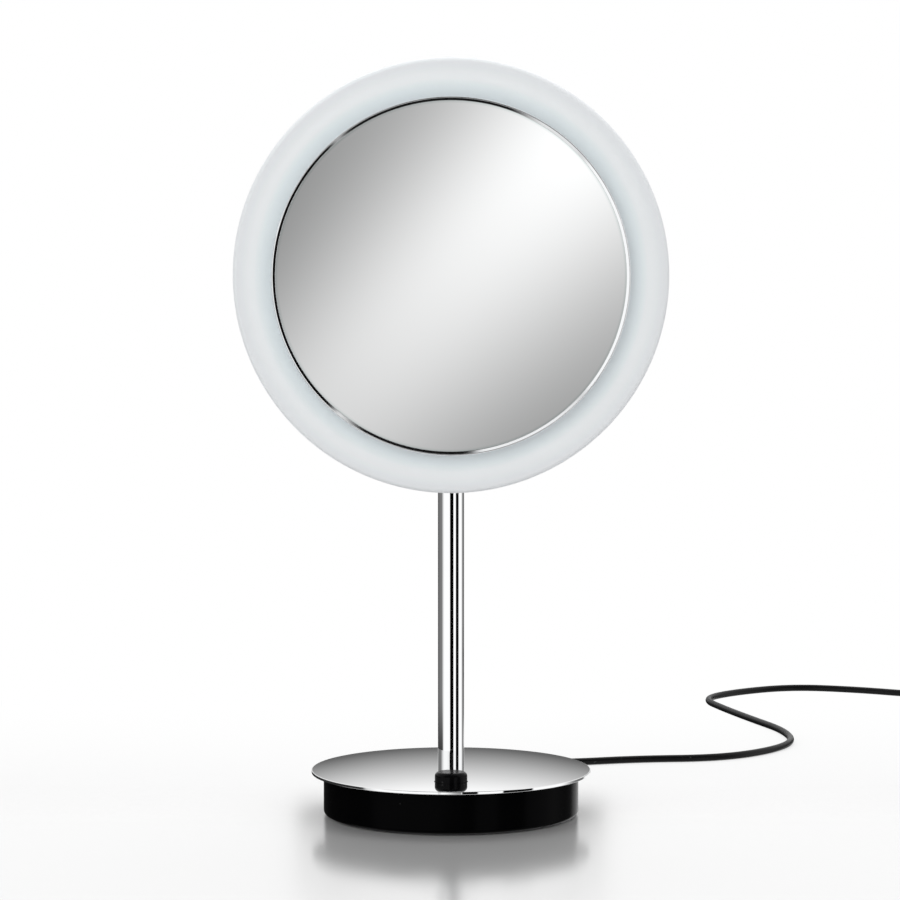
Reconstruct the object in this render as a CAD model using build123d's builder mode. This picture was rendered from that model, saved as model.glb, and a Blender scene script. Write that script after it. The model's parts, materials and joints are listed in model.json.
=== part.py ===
"""Round lighted vanity mirror on a post: satin light ring, concave mirror, weighted base with a push button.

Millimetres, +Z up. The origin is the centre of the base on the table, and the mirror faces -Y.
"""

import os
from math import cos, pi, radians, sin, sqrt, tan

from build123d import *

os.makedirs("parts", exist_ok=True)

# Overall sizes
head_height = 270.5        # mirror centre above the table
ring_diameter = 212.0      # satin light ring
ring_opening = 150.0
ring_thickness = 9.0
ring_edge = 2.2            # rounding of the ring's rim
post_diameter = 13.0
post_wall = 1.0
plate_diameter = 139.0     # polished plate on top of the base
plate_thickness = 1.5
plate_top = 22.8
plate_edge = 0.3
drum_diameter = 127.0      # black housing under the plate

# Mirror
bezel_diameter = 174.0
bezel_wall = 0.8
bezel_lip = 2.0            # how far the bezel laps over the glass and its seat, across the rim
bezel_seat = 3.5           # room for the bezel's lip, the tape, the carrier and the gasket, front to back
glass_radius_of_curve = 850.0
glass_thickness = 3.0
tape_thickness = 0.5
carrier_thickness = 1.0

# Head housing
pivot_to_ring = 29.0       # tilt axis to the back of the light ring
flange_thickness = 2.0
hub_wall = 2.0
floor_thickness = 2.0
hub_floor_back = 24.0      # tilt axis to the back of the hub's floor
cover_back = 16.0          # tilt axis to the flat back of the rear cover
cover_diameter = 176.0
cover_flat = 90.0          # diameter of the flat middle of the rear cover
cover_shoulder = 9.5       # how far the cover's slope drops to its rim
cover_wall = 1.2
strip_width = 8.0
strip_thickness = 0.4
chip_count = 42
chip_size = (1.3, 3.5, 2.8)  # radial, along the strip, across the strip
strip_room = 3.5           # from the hub to the light ring's opening

# Neck
pin_diameter = 5.0
tongue_width = 8.0
tongue_radius = 6.0
friction_washer = 0.8
ear_thickness = 4.0
ear_radius = 7.0
fork_foot = 6.7            # height of the fork's round foot
fork_foot_diameter = 18.0
pivot_to_foot = 22.2       # tilt axis down to the underside of the fork
spigot_diameter = 8.0
spigot_length = 24.3
wire_bore = 4.6
bush_length = 20.0
bush_flange = 1.2
swivel_washer_thickness = 0.6

# Base
drum_wall = 2.5
drum_roof = 2.0
drum_lift = 0.8            # lower edge of the drum above the table
drum_edge = 2.0
bottom_thickness = 2.0
bottom_lift = 1.0
foot_inner, foot_outer = 52.0, 58.0
foot_seat = 0.8            # depth of the groove that holds the foot ring
stud_thread = 10.0
stud_bore = 6.0
stud_grip = 16.0           # length of the stud inside the post
stud_below = 10.3
nut_height = 4.0
nut_across_flats = 14.0
washer_diameter = 24.0
washer_thickness = 1.5
ballast_inner, ballast_outer = 14.0, 50.0
ballast_height = 5.0
boss_circle = 46.0
boss_count, first_boss_at = 4, 45
boss_diameter = 8.0

# Push button and its electronics
button_diameter = 16.0
button_proud = 4.9
button_edge = 2.2
button_centre = -38.5
button_travel = 1.2
button_flange = 1.2        # how far the flange stands out from the cap
button_flange_height = 1.7
board_size = (40.0, 36.0)
board_offset = 6.5         # from the button's axis to the board's centre
board_corner = 2.0
board_thickness = 1.6
board_top = 12.0
pillar_diameter = 5.0
pillar_inset = 3.0
switch_size = 6.0
switch_height = 3.0
plunger_diameter = 3.4
plunger_length = 2.3
spring_wire = 0.6
spring_diameter = 10.4
spring_turns = 4

# Low-voltage lead
cord_diameter = 3.8
cord_exit_height = 12.0
relief_length = 22.0
relief_root, relief_tip = 9.0, 5.6
inner_lead_end = 69.0      # where the lead inside the base meets the free cord, inside the strain relief

# Clearances
slip = 0.1                 # loose fit of fixed pieces
running = 0.04             # radial clearance of turning pieces
apart = 0.3                # gap between pieces that move past each other
glass_fit = 0.2
film = 0.05                # gap beside a friction washer
hub_clearance = 0.2        # from the mirror's carrier to the hub
flange_clearance = 0.8     # from the hub's flange to the rear cover

# Fasteners: shank, head width, head height
m3_shank, m3_head, m3_head_height = 3.0, 5.6, 1.8
m25_shank, m25_head, m25_head_height = 2.5, 4.4, 1.6
recess = (0.7, 2.8, 0.9)   # cross recess: slot width, length, depth

# Levels that follow from the sizes above
plate_under = plate_top - plate_thickness
roof_under = plate_under - drum_roof
drum_inner = drum_diameter / 2 - drum_wall
ring_back = -pivot_to_ring
ring_front = ring_back - ring_thickness
bezel_front = ring_front - bezel_seat - glass_thickness
glass_rim_front = bezel_front + bezel_wall
seat_radius = bezel_diameter / 2 - bezel_wall
glass_radius = seat_radius - glass_fit
glass_back_curve = glass_radius_of_curve + glass_thickness
carrier_front_curve = glass_back_curve + tape_thickness
carrier_back_curve = carrier_front_curve + carrier_thickness
curve_centre = glass_rim_front - sqrt(glass_radius_of_curve**2 - glass_radius**2)
hub_radius = ring_opening / 2 - strip_room
hub_floor_front = -hub_floor_back - floor_thickness
post_top = head_height - pivot_to_foot - swivel_washer_thickness - bush_flange
fork_under = head_height - pivot_to_foot

base_section = Plane.XZ
post_axis = Axis.Z
head_section = Plane.XY.offset(head_height)
head_axis = Axis((0, 0, head_height), (0, 1, 0))


def head_plane(depth, facing=-1):
    """Plane square to the head's axis, facing the user by default."""
    return Plane(origin=(0, depth, head_height), x_dir=(1, 0, 0), z_dir=(0, facing, 0))


def under_plane(height):
    """Level plane facing down, whose y runs towards the user."""
    return Plane(origin=(0, 0, height), x_dir=(1, 0, 0), z_dir=(0, 0, -1))


def curve_depth(radius, r):
    """Depth, at distance r from the head's axis, of a surface concentric with the mirror's face."""
    return curve_centre + sqrt(radius**2 - r**2)


def dish_outline(inner, outer, front, back):
    """Outline between two concentric curved surfaces, from one radius to another."""
    middle = (inner + outer) / 2
    ends = ((front, inner), (front, outer), (back, outer), (back, inner))
    corners = [(r, curve_depth(curve, r)) for curve, r in ends]
    ThreePointArc(corners[0], (middle, curve_depth(front, middle)), corners[1])
    Line(corners[1], corners[2])
    ThreePointArc(corners[2], (middle, curve_depth(back, middle)), corners[3])
    Line(corners[3], corners[0])


def band(inner, outer, low, high, mode=Mode.ADD):
    """Rectangle of a section, given by its two radii and its two ends."""
    Polygon((inner, low), (outer, low), (outer, high), (inner, high), align=None, mode=mode)


def screws(plane, spots, shank, head, head_height, length, countersunk=False):
    """Screws with a cross recess, their heads on the plane, or sunk into it."""
    top = 0 if countersunk else head_height
    with BuildPart(plane) as made:
        with Locations(*[(x, y, top - head_height) for x, y in spots]):
            if countersunk:
                Cone(shank / 2, head / 2, head_height, align=(Align.CENTER, Align.CENTER, Align.MIN))
            else:
                Cylinder(head / 2, head_height, align=(Align.CENTER, Align.CENTER, Align.MIN))
            Cylinder(shank / 2, length, align=(Align.CENTER, Align.CENTER, Align.MAX))
        width, across, depth = recess
        with Locations(*[(x, y, top) for x, y in spots]):
            Box(width, across, depth, align=(Align.CENTER, Align.CENTER, Align.MAX), mode=Mode.SUBTRACT)
            Box(across, width, depth, align=(Align.CENTER, Align.CENTER, Align.MAX), mode=Mode.SUBTRACT)
    return made


def circle_spots(radius, count, start=0.0):
    """Points spaced evenly round a circle."""
    angles = [radians(start + 360 * i / count) for i in range(count)]
    return [(radius * cos(a), radius * sin(a)) for a in angles]


def save(piece, name):
    """Labels a finished piece and writes it as its own file."""
    piece.part.label = name
    export_step(piece.part, f"parts/{name}.step")


# ---------------------------------------------------------------- mirror head

with BuildPart() as mirror_glass:
    with BuildSketch(head_section):
        with BuildLine():
            dish_outline(0, glass_radius, glass_radius_of_curve, glass_back_curve)
        make_face()
    revolve(axis=head_axis)
save(mirror_glass, "mirror_glass")

# Rim seal and tape sit between the glass and its carrier
rim_seal_width = 6.0
tape_inner, tape_outer = 30.0, 52.0
for name, inner, outer in (
    ("rim_seal", glass_radius - rim_seal_width, glass_radius),
    ("mirror_tape", tape_inner, tape_outer),
):
    with BuildPart() as bond:
        with BuildSketch(head_section):
            with BuildLine():
                dish_outline(inner, outer, glass_back_curve, carrier_front_curve)
            make_face()
        revolve(axis=head_axis)
    save(bond, name)

with BuildPart() as mirror_carrier:
    with BuildSketch(head_section):
        with BuildLine():
            dish_outline(0, seat_radius, carrier_front_curve, carrier_back_curve)
        make_face()
    revolve(axis=head_axis)
save(mirror_carrier, "mirror_carrier")

# Bezel: a lip in front of the glass and a wall round the carrier
bezel_rounding = 0.6
with BuildPart() as mirror_bezel:
    with BuildSketch(head_section) as bezel_profile:
        band(seat_radius, bezel_diameter / 2, bezel_front, ring_front - apart)
        band(bezel_diameter / 2 - bezel_lip, bezel_diameter / 2, bezel_front, glass_rim_front)
        fillet(bezel_profile.vertices().group_by(Axis.Y)[0], bezel_rounding)
    revolve(axis=head_axis)
save(mirror_bezel, "mirror_bezel")

# Light ring: a flat satin ring lit from its inner edge
ring_inner_edge = 0.5
with BuildPart() as light_ring:
    with BuildSketch(head_section) as ring_profile:
        band(ring_opening / 2, ring_diameter / 2, ring_front, ring_back)
        fillet(ring_profile.vertices().group_by(Axis.X)[-1], ring_edge)
        chamfer(ring_profile.vertices().group_by(Axis.X)[0], ring_inner_edge)
    revolve(axis=head_axis)
save(light_ring, "light_ring")

# Gasket that presses the light ring back against the hub
gasket_seat, gasket_width = 4.0, 5.0
gasket_inner = ring_opening / 2 + gasket_seat
gasket_outer = gasket_inner + gasket_width
gasket_middle = (gasket_inner + gasket_outer) / 2
with BuildPart() as ring_gasket:
    with BuildSketch(head_section):
        with BuildLine():
            gasket_curve = ThreePointArc(
                (gasket_inner, curve_depth(carrier_back_curve, gasket_inner)),
                (gasket_middle, curve_depth(carrier_back_curve, gasket_middle)),
                (gasket_outer, curve_depth(carrier_back_curve, gasket_outer)),
            )
            Polyline(
                gasket_curve @ 1, (gasket_outer, ring_front), (gasket_inner, ring_front), gasket_curve @ 0
            )
        make_face()
    revolve(axis=head_axis)
save(ring_gasket, "ring_gasket")

# Hub: a dished aluminium housing that carries every other piece of the head
hub_front = curve_depth(carrier_back_curve, hub_radius - hub_wall) + hub_clearance
hub_flange_radius = cover_diameter / 2 - cover_wall - flange_clearance
lead_hole = 4.0
standoff_circle, standoff_diameter, standoff_bore = 38.0, 6.0, 2.5
spacer_circle, spacer_diameter = 60.0, 7.0
spacer_count, standoff_count, first_at = 3, 3, 90
knuckle_circle, knuckle_screw_count = 12.0, 4
head_lead_diameter = 2.6
head_lead_depth = -31.0
spacer_spots = circle_spots(spacer_circle, spacer_count, first_at)
standoff_spots = circle_spots(standoff_circle, standoff_count, first_at)
knuckle_spots = circle_spots(knuckle_circle, knuckle_screw_count, 45)
cover_inside = -cover_back - cover_wall
with BuildPart() as hub_housing:
    with BuildSketch(head_section):
        band(lead_hole, hub_radius, hub_floor_front, -hub_floor_back)
        band(hub_radius - hub_wall, hub_radius, hub_front, -hub_floor_back)
        band(hub_radius - hub_wall, hub_flange_radius, ring_back, ring_back + flange_thickness)
    revolve(axis=head_axis)
    with BuildSketch(head_plane(-hub_floor_back, 1)):
        with Locations(*standoff_spots):
            Circle(standoff_diameter / 2)
    extrude(amount=cover_inside + hub_floor_back)
    with BuildSketch(head_plane(cover_inside, 1)):
        with Locations(*standoff_spots):
            Circle(standoff_bore / 2)
    extrude(amount=hub_floor_front - cover_inside, mode=Mode.SUBTRACT)
    with BuildSketch(head_plane(-hub_floor_back, 1)):
        with Locations(*spacer_spots, *knuckle_spots):
            Circle(m3_shank / 2 + slip)
    extrude(amount=-floor_thickness, mode=Mode.SUBTRACT)
    with BuildSketch(Plane.XY.offset(head_height)):
        with Locations((0, head_lead_depth)):
            Circle(head_lead_diameter / 2 + apart)
    extrude(amount=hub_radius + hub_wall, mode=Mode.SUBTRACT)
save(hub_housing, "hub_housing")

# Spacers and screws that hold the mirror carrier to the hub, driven from behind
spacer_front = curve_depth(carrier_back_curve, spacer_circle - spacer_diameter / 2)
carrier_screw_length = 9.0
with BuildPart() as carrier_spacers:
    with BuildSketch(head_plane(hub_floor_front, 1)):
        with Locations(*spacer_spots):
            Circle(spacer_diameter / 2)
    extrude(amount=spacer_front - hub_floor_front)
    with BuildSketch(head_plane(hub_floor_front, 1)):
        with Locations(*spacer_spots):
            Circle(m3_shank / 2)
    extrude(amount=floor_thickness - carrier_screw_length, mode=Mode.SUBTRACT)
save(carrier_spacers, "carrier_spacers")

carrier_screws = screws(
    head_plane(-hub_floor_back, 1), spacer_spots, m3_shank, m3_head, m3_head_height, carrier_screw_length
)
save(carrier_screws, "carrier_screws")

# Lamp strip round the hub, facing outward into the light ring
strip_front = (ring_front + ring_back - strip_width) / 2
with BuildPart() as led_strip:
    with BuildSketch(head_section):
        band(hub_radius, hub_radius + strip_thickness, strip_front, strip_front + strip_width)
    revolve(axis=head_axis)
save(led_strip, "led_strip")

with BuildPart() as led_chips:
    with BuildSketch(head_plane((ring_front + ring_back + chip_size[2]) / 2)):
        with PolarLocations(hub_radius + strip_thickness + chip_size[0] / 2, chip_count):
            Rectangle(chip_size[0], chip_size[1])
    extrude(amount=chip_size[2])
save(led_chips, "led_chips")

# Rear cover: a thin spun dish with a flat middle
cover_hole = 17.0
cover_front = ring_back + apart
cover_screw_length = 7.0
slope_rounding, rim_rounding = 14.0, 2.4
with BuildPart(head_plane(-cover_back, 1)) as rear_cover:
    with BuildSketch(head_section):
        with BuildLine():
            FilletPolyline(
                (cover_hole / 2, -cover_back),
                (cover_flat / 2, -cover_back),
                (cover_diameter / 2, -cover_back - cover_shoulder),
                (cover_diameter / 2, cover_front),
                radius=[slope_rounding, rim_rounding],
            )
            offset(amount=cover_wall, side=Side.RIGHT)
        make_face()
    revolve(axis=head_axis)
    with Locations(*standoff_spots):
        CounterSinkHole(m3_shank / 2 + slip, m3_head / 2 + slip)
save(rear_cover, "rear_cover")

cover_screws = screws(
    head_plane(-cover_back, 1), standoff_spots, standoff_bore, m3_head, cover_wall, cover_screw_length, True
)
save(cover_screws, "cover_screws")

# Knuckle: the tongue of the tilt joint, bolted to the back of the hub
knuckle_flange, knuckle_flange_thickness = 34.0, 3.0
boss_end = -13.5
knuckle_boss = cover_hole - 1.0
knuckle_bore_end = -8.0
knuckle_screw_length = 4.8
with BuildPart() as tilt_knuckle:
    with BuildSketch(head_plane(-hub_floor_back, 1)):
        Circle(knuckle_flange / 2)
    extrude(amount=knuckle_flange_thickness)
    with BuildSketch(head_plane(-hub_floor_back, 1)):
        Circle(knuckle_boss / 2)
    extrude(amount=hub_floor_back + boss_end)
    with BuildSketch(Plane.YZ):
        with Locations((0, head_height)):
            Circle(tongue_radius)
        with Locations((boss_end / 2, head_height)):
            Rectangle(-boss_end, 2 * tongue_radius)
    extrude(amount=tongue_width / 2, both=True)
    with BuildSketch(Plane.YZ):
        with Locations((0, head_height)):
            Circle(pin_diameter / 2 + running)
    extrude(amount=tongue_width, both=True, mode=Mode.SUBTRACT)
    with BuildSketch(head_plane(-hub_floor_back, 1)):
        Circle(wire_bore / 2)
    extrude(amount=hub_floor_back + knuckle_bore_end, mode=Mode.SUBTRACT)
    with BuildSketch(head_plane(-hub_floor_back, 1)):
        with Locations(*knuckle_spots):
            Circle(m3_shank / 2)
    extrude(amount=knuckle_flange_thickness, mode=Mode.SUBTRACT)
save(tilt_knuckle, "tilt_knuckle")

knuckle_screws = screws(
    head_plane(hub_floor_front), knuckle_spots, m3_shank, m3_head, m3_head_height, knuckle_screw_length
)
save(knuckle_screws, "knuckle_screws")

# Lead from the lamp strip down behind the carrier and into the knuckle
head_lead_bend = 8.0
with BuildPart() as head_lead:
    with BuildLine() as head_lead_path:
        FilletPolyline(
            (0, head_lead_depth, head_height + hub_radius - slip),
            (0, head_lead_depth, head_height),
            (0, boss_end, head_height),
            radius=head_lead_bend,
        )
    with BuildSketch(Plane(origin=head_lead_path.line @ 0, z_dir=head_lead_path.line % 0)):
        Circle(head_lead_diameter / 2)
    sweep()
save(head_lead, "head_lead")

# ---------------------------------------------------------------- neck

ear_inner = tongue_width / 2 + friction_washer
ear_outer = ear_inner + ear_thickness
tongue_room = 5.5                      # from the tongue to the bottom of the fork's slot
slot_floor = tongue_radius + tongue_room
fork_chamfer = 0.8
clip_groove, clip_thickness = 0.5, 1.0
bush_bottom = post_top + bush_flange - bush_length
clip_top = bush_bottom - slip
with BuildPart() as swivel_fork:
    with BuildSketch(Plane.XY.offset(fork_under)):
        Circle(fork_foot_diameter / 2)
    extrude(amount=fork_foot)
    chamfer(swivel_fork.edges().filter_by(GeomType.CIRCLE), fork_chamfer)
    with BuildSketch(Plane.YZ):
        with Locations((0, head_height)):
            Circle(ear_radius)
        with Locations((0, head_height - (pivot_to_foot - fork_foot / 2) / 2)):
            Rectangle(2 * ear_radius, pivot_to_foot - fork_foot / 2)
    extrude(amount=ear_outer, both=True)
    with BuildSketch(Plane.XZ):
        with Locations((0, head_height)):
            Rectangle(2 * ear_inner, 2 * slot_floor)
    extrude(amount=fork_foot_diameter, both=True, mode=Mode.SUBTRACT)
    with BuildSketch(Plane.YZ):
        with Locations((0, head_height)):
            Circle(pin_diameter / 2)
    extrude(amount=2 * ear_outer, both=True, mode=Mode.SUBTRACT)
    with BuildSketch(Plane.XY.offset(fork_under)):
        Circle(spigot_diameter / 2)
    extrude(amount=-spigot_length)
    with BuildSketch(Plane.XY.offset(clip_top)):
        Circle(spigot_diameter)
        Circle(spigot_diameter / 2 - clip_groove, mode=Mode.SUBTRACT)
    extrude(amount=-clip_thickness, mode=Mode.SUBTRACT)
    with BuildSketch(Plane.XY.offset(head_height - slot_floor)):
        Circle(wire_bore / 2)
    extrude(amount=-pivot_to_foot - spigot_length, mode=Mode.SUBTRACT)
save(swivel_fork, "swivel_fork")

with BuildPart() as tilt_washers:
    for side in (-1, 1):
        with BuildSketch(Plane.YZ.offset(side * (tongue_width + friction_washer) / 2)):
            with Locations((0, head_height)):
                Circle(tongue_radius)
                Circle(pin_diameter / 2, mode=Mode.SUBTRACT)
        extrude(amount=friction_washer / 2 - film, both=True)
save(tilt_washers, "tilt_washers")

bolt_head, bolt_head_height, bolt_tail = 9.0, 3.0, 5.0
bolt_rounding = 0.8
hex_key, hex_depth = 3.0, 1.8
with BuildPart() as tilt_bolt:
    with BuildSketch(Plane.YZ.offset(ear_outer)):
        with Locations((0, head_height)):
            Circle(bolt_head / 2)
    extrude(amount=bolt_head_height)
    fillet(tilt_bolt.edges().group_by(Axis.X)[-1], bolt_rounding)
    with BuildSketch(Plane.YZ.offset(ear_outer)):
        with Locations((0, head_height)):
            Circle(pin_diameter / 2)
    extrude(amount=-2 * ear_outer - bolt_tail)
    with BuildSketch(Plane.YZ.offset(ear_outer + bolt_head_height)):
        with Locations((0, head_height)):
            RegularPolygon(hex_key / 2, 6, major_radius=False)
    extrude(amount=-hex_depth, mode=Mode.SUBTRACT)
save(tilt_bolt, "tilt_bolt")

tilt_nut_height, tilt_nut_flats = 4.0, 8.0
with BuildPart() as tilt_nut:
    with BuildSketch(Plane.YZ.offset(-ear_outer)):
        with Locations((0, head_height)):
            RegularPolygon(tilt_nut_flats / 2, 6, major_radius=False)
            Circle(pin_diameter / 2, mode=Mode.SUBTRACT)
    extrude(amount=-tilt_nut_height)
save(tilt_nut, "tilt_nut")

clip_rim, clip_gap = 1.1, 3.0
with BuildPart() as retaining_clip:
    with BuildSketch(Plane.XY.offset(clip_top)) as clip_profile:
        Circle(spigot_diameter / 2 + clip_rim)
        Circle(spigot_diameter / 2 - clip_groove, mode=Mode.SUBTRACT)
        with Locations((spigot_diameter / 2, 0)):
            Rectangle(spigot_diameter / 2, clip_gap, mode=Mode.SUBTRACT)
    extrude(amount=-clip_thickness)
save(retaining_clip, "retaining_clip")

# ---------------------------------------------------------------- post

post_bore = post_diameter / 2 - post_wall
with BuildPart() as post_tube:
    with BuildSketch(Plane.XY.offset(plate_top)):
        Circle(post_diameter / 2)
        Circle(post_bore, mode=Mode.SUBTRACT)
    extrude(amount=post_top - plate_top)
save(post_tube, "post_tube")

with BuildPart() as swivel_bush:
    with BuildSketch(base_section):
        band(spigot_diameter / 2 + running, post_bore, bush_bottom, post_top)
        band(spigot_diameter / 2 + running, post_diameter / 2, post_top, post_top + bush_flange)
    revolve(axis=post_axis)
save(swivel_bush, "swivel_bush")

with BuildPart() as swivel_washer:
    with BuildSketch(Plane.XY.offset(post_top + bush_flange)):
        Circle(post_diameter / 2)
        Circle(spigot_diameter / 2 + slip, mode=Mode.SUBTRACT)
    extrude(amount=swivel_washer_thickness - film)
save(swivel_washer, "swivel_washer")

with BuildPart() as post_stud:
    with BuildSketch(base_section):
        band(stud_bore / 2, stud_thread / 2, plate_top - stud_below, plate_top)
        band(stud_bore / 2, post_bore, plate_top, plate_top + stud_grip)
    revolve(axis=post_axis)
save(post_stud, "post_stud")

with BuildPart() as stud_washer:
    with BuildSketch(Plane.XY.offset(roof_under)):
        Circle(washer_diameter / 2)
        Circle(stud_thread / 2 + slip, mode=Mode.SUBTRACT)
    extrude(amount=-washer_thickness)
save(stud_washer, "stud_washer")

with BuildPart() as stud_nut:
    with BuildSketch(Plane.XY.offset(roof_under - washer_thickness)):
        RegularPolygon(nut_across_flats / 2, 6, major_radius=False)
        Circle(stud_thread / 2, mode=Mode.SUBTRACT)
    extrude(amount=-nut_height)
save(stud_nut, "stud_nut")

# ---------------------------------------------------------------- base

button_hole = button_diameter / 2 + apart
with BuildPart() as base_plate:
    with BuildSketch(Plane.XY.offset(plate_under)):
        Circle(plate_diameter / 2)
        Circle(stud_thread / 2 + slip, mode=Mode.SUBTRACT)
        with Locations((0, button_centre)):
            Circle(button_hole, mode=Mode.SUBTRACT)
    extrude(amount=plate_thickness)
    fillet(base_plate.edges().filter_by(GeomType.CIRCLE).group_by(SortBy.RADIUS)[-1], plate_edge)
save(base_plate, "base_plate")

# Drum: moulded housing, open below, with bosses that hang from its roof
board_centre = button_centre + board_offset
pillar_x = board_size[0] / 2 - pillar_inset
pillar_y = board_size[1] / 2 - pillar_inset
pillar_spots = [(sx * pillar_x, board_centre + sy * pillar_y) for sx in (-1, 1) for sy in (-1, 1)]
boss_spots = circle_spots(boss_circle, boss_count, first_boss_at)
bottom_top = bottom_lift + bottom_thickness
clamp_size = (24.0, 6.0, 1.6)
clamp_corner = 1.5
clamp_y = 54.0
clamp_screw_x = 8.0
clamp_spots = [(-clamp_screw_x, clamp_y), (clamp_screw_x, clamp_y)]
clamp_top = cord_exit_height - cord_diameter / 2
clamp_rib = cord_exit_height + cord_diameter / 2
relief_groove = 8.0
screw_core = 2.2
with BuildPart() as base_drum:
    with BuildSketch(base_section) as drum_profile:
        band(stud_thread / 2 + slip, drum_diameter / 2, roof_under, plate_under)
        band(drum_inner, drum_diameter / 2, drum_lift, plate_under)
        fillet(drum_profile.vertices().group_by(Axis.Y)[0].sort_by(Axis.X)[-1], drum_edge)
    revolve(axis=post_axis)
    with BuildSketch(Plane.XY.offset(roof_under)):
        with Locations(*boss_spots):
            Circle(boss_diameter / 2)
    extrude(amount=bottom_top - roof_under)
    with BuildSketch(Plane.XY.offset(roof_under)):
        with Locations(*pillar_spots):
            Circle(pillar_diameter / 2)
    extrude(amount=board_top - roof_under)
    with BuildSketch(Plane.XY.offset(roof_under)):
        with Locations((0, clamp_y)):
            Rectangle(clamp_size[0], clamp_size[1])
    extrude(amount=clamp_rib - roof_under)
    with BuildSketch(Plane.XY.offset(bottom_top)):
        with Locations(*boss_spots, *pillar_spots, *clamp_spots):
            Circle(screw_core / 2)
    extrude(amount=roof_under - bottom_top, mode=Mode.SUBTRACT)
    with BuildSketch(Plane.XY.offset(roof_under)):
        with Locations((0, button_centre)):
            Circle(button_hole)
    extrude(amount=drum_roof, mode=Mode.SUBTRACT)
    with BuildSketch(Plane.XZ.offset(-drum_inner + drum_wall)):
        with Locations((0, cord_exit_height)):
            Circle(relief_groove / 2)
    extrude(amount=-2 * drum_wall, mode=Mode.SUBTRACT)
save(base_drum, "base_drum")

# Bottom cover with a groove for the rubber foot ring and sunk screws
with BuildPart(under_plane(bottom_lift)) as bottom_cover:
    with BuildSketch(base_section):
        band(0, drum_inner - apart, bottom_lift, bottom_top)
        band(foot_inner, foot_outer, bottom_lift, bottom_lift + foot_seat, mode=Mode.SUBTRACT)
    revolve(axis=post_axis)
    with Locations(*boss_spots):
        CounterSinkHole(m3_shank / 2 + slip, m3_head / 2 + slip)
save(bottom_cover, "bottom_cover")

bottom_screw_length = 9.0
bottom_screws = screws(
    under_plane(bottom_lift), boss_spots, screw_core, m3_head, m3_head_height, bottom_screw_length, True
)
save(bottom_screws, "bottom_screws")

foot_rounding = 0.4
with BuildPart() as foot_ring:
    with BuildSketch(base_section) as foot_profile:
        band(foot_inner, foot_outer, 0, bottom_lift + foot_seat)
        fillet(foot_profile.vertices().group_by(Axis.Y)[0], foot_rounding)
    revolve(axis=post_axis)
save(foot_ring, "foot_ring")

with BuildPart() as ballast_ring:
    with BuildSketch(Plane.XY.offset(bottom_top)):
        Circle(ballast_outer)
        Circle(ballast_inner, mode=Mode.SUBTRACT)
        with Locations(*boss_spots):
            Circle(boss_diameter / 2 + apart, mode=Mode.SUBTRACT)
    extrude(amount=ballast_height)
save(ballast_ring, "ballast_ring")

# ---------------------------------------------------------------- electronics and button

board_plane = Plane.XY.offset(board_top)
with BuildPart() as driver_board:
    with BuildSketch(board_plane):
        with Locations((0, board_centre)):
            RectangleRounded(board_size[0], board_size[1], board_corner)
        with Locations(*pillar_spots):
            Circle(m25_shank / 2 + slip, mode=Mode.SUBTRACT)
    extrude(amount=-board_thickness)
save(driver_board, "driver_board")

board_screw_length = 6.0
board_screws = screws(
    under_plane(board_top - board_thickness), [(x, -y) for x, y in pillar_spots],
    screw_core, m25_head, m25_head_height, board_screw_length,
)
save(board_screws, "board_screws")

# Components: inductor, two capacitors, driver chip and lead sockets, placed from the board's centre
inductor_aside, capacitor_aside = 7.0, 5.0      # from the button's side
inductor_x = -button_diameter / 2 - inductor_aside
capacitor_x = button_diameter / 2 + capacitor_aside
inductor_spot, inductor_diameter, inductor_height = (inductor_x, -6.0), 8.0, 4.5
capacitor_spots = ((capacitor_x, -8.0), (capacitor_x, 0.0))
capacitor_diameter, capacitor_height = 6.0, 6.0
driver_spot, driver_size = (-10.0, 3.0), (5.0, 4.0, 1.5)
connector = (7.0, 6.0, 5.0)
connector_x = 8.0
connector_y = board_size[1] / 2 - connector[1] / 2
standing = (Align.CENTER, Align.CENTER, Align.MIN)
with BuildPart(board_plane) as board_parts:
    with Locations((0, board_centre)):
        with Locations(inductor_spot):
            Cylinder(inductor_diameter / 2, inductor_height, align=standing)
        with Locations(*capacitor_spots):
            Cylinder(capacitor_diameter / 2, capacitor_height, align=standing)
        with Locations(driver_spot):
            Box(*driver_size, align=standing)
        with Locations((-connector_x, connector_y), (connector_x, connector_y)):
            Box(*connector, align=standing)
save(board_parts, "board_parts")

switch_top = board_top + switch_height
cap_top = plate_top + button_proud
flange_top = roof_under - apart - slip
flange_under = flange_top - button_flange_height
stem_under = switch_top + button_travel + apart + slip
with BuildPart() as switch_body:
    with BuildSketch(board_plane):
        with Locations((0, button_centre)):
            Rectangle(switch_size, switch_size)
    extrude(amount=switch_height)
    with BuildSketch(Plane.XY.offset(switch_top)):
        with Locations((0, button_centre)):
            Circle(plunger_diameter / 2 + running)
    extrude(amount=stem_under - plunger_length - button_travel - apart - switch_top, mode=Mode.SUBTRACT)
save(switch_body, "switch_body")

with BuildPart() as switch_plunger:
    with BuildSketch(Plane.XY.offset(stem_under)):
        with Locations((0, button_centre)):
            Circle(plunger_diameter / 2)
    extrude(amount=-plunger_length)
save(switch_plunger, "switch_plunger")

# Push button: solid cap with a flange that the drum's roof keeps in
button_section = Plane.XZ.offset(-button_centre)
button_axis = Axis((0, button_centre, 0), (0, 0, 1))
stem_radius = 2.0
with BuildPart() as push_button:
    with BuildSketch(button_section) as cap_profile:
        band(0, button_diameter / 2, flange_under, cap_top)
        fillet(cap_profile.vertices().group_by(Axis.Y)[-1].sort_by(Axis.X)[-1], button_edge)
        band(0, button_diameter / 2 + button_flange, flange_under, flange_top)
        band(0, stem_radius, stem_under, flange_under)
    revolve(axis=button_axis)
save(push_button, "push_button")

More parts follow.
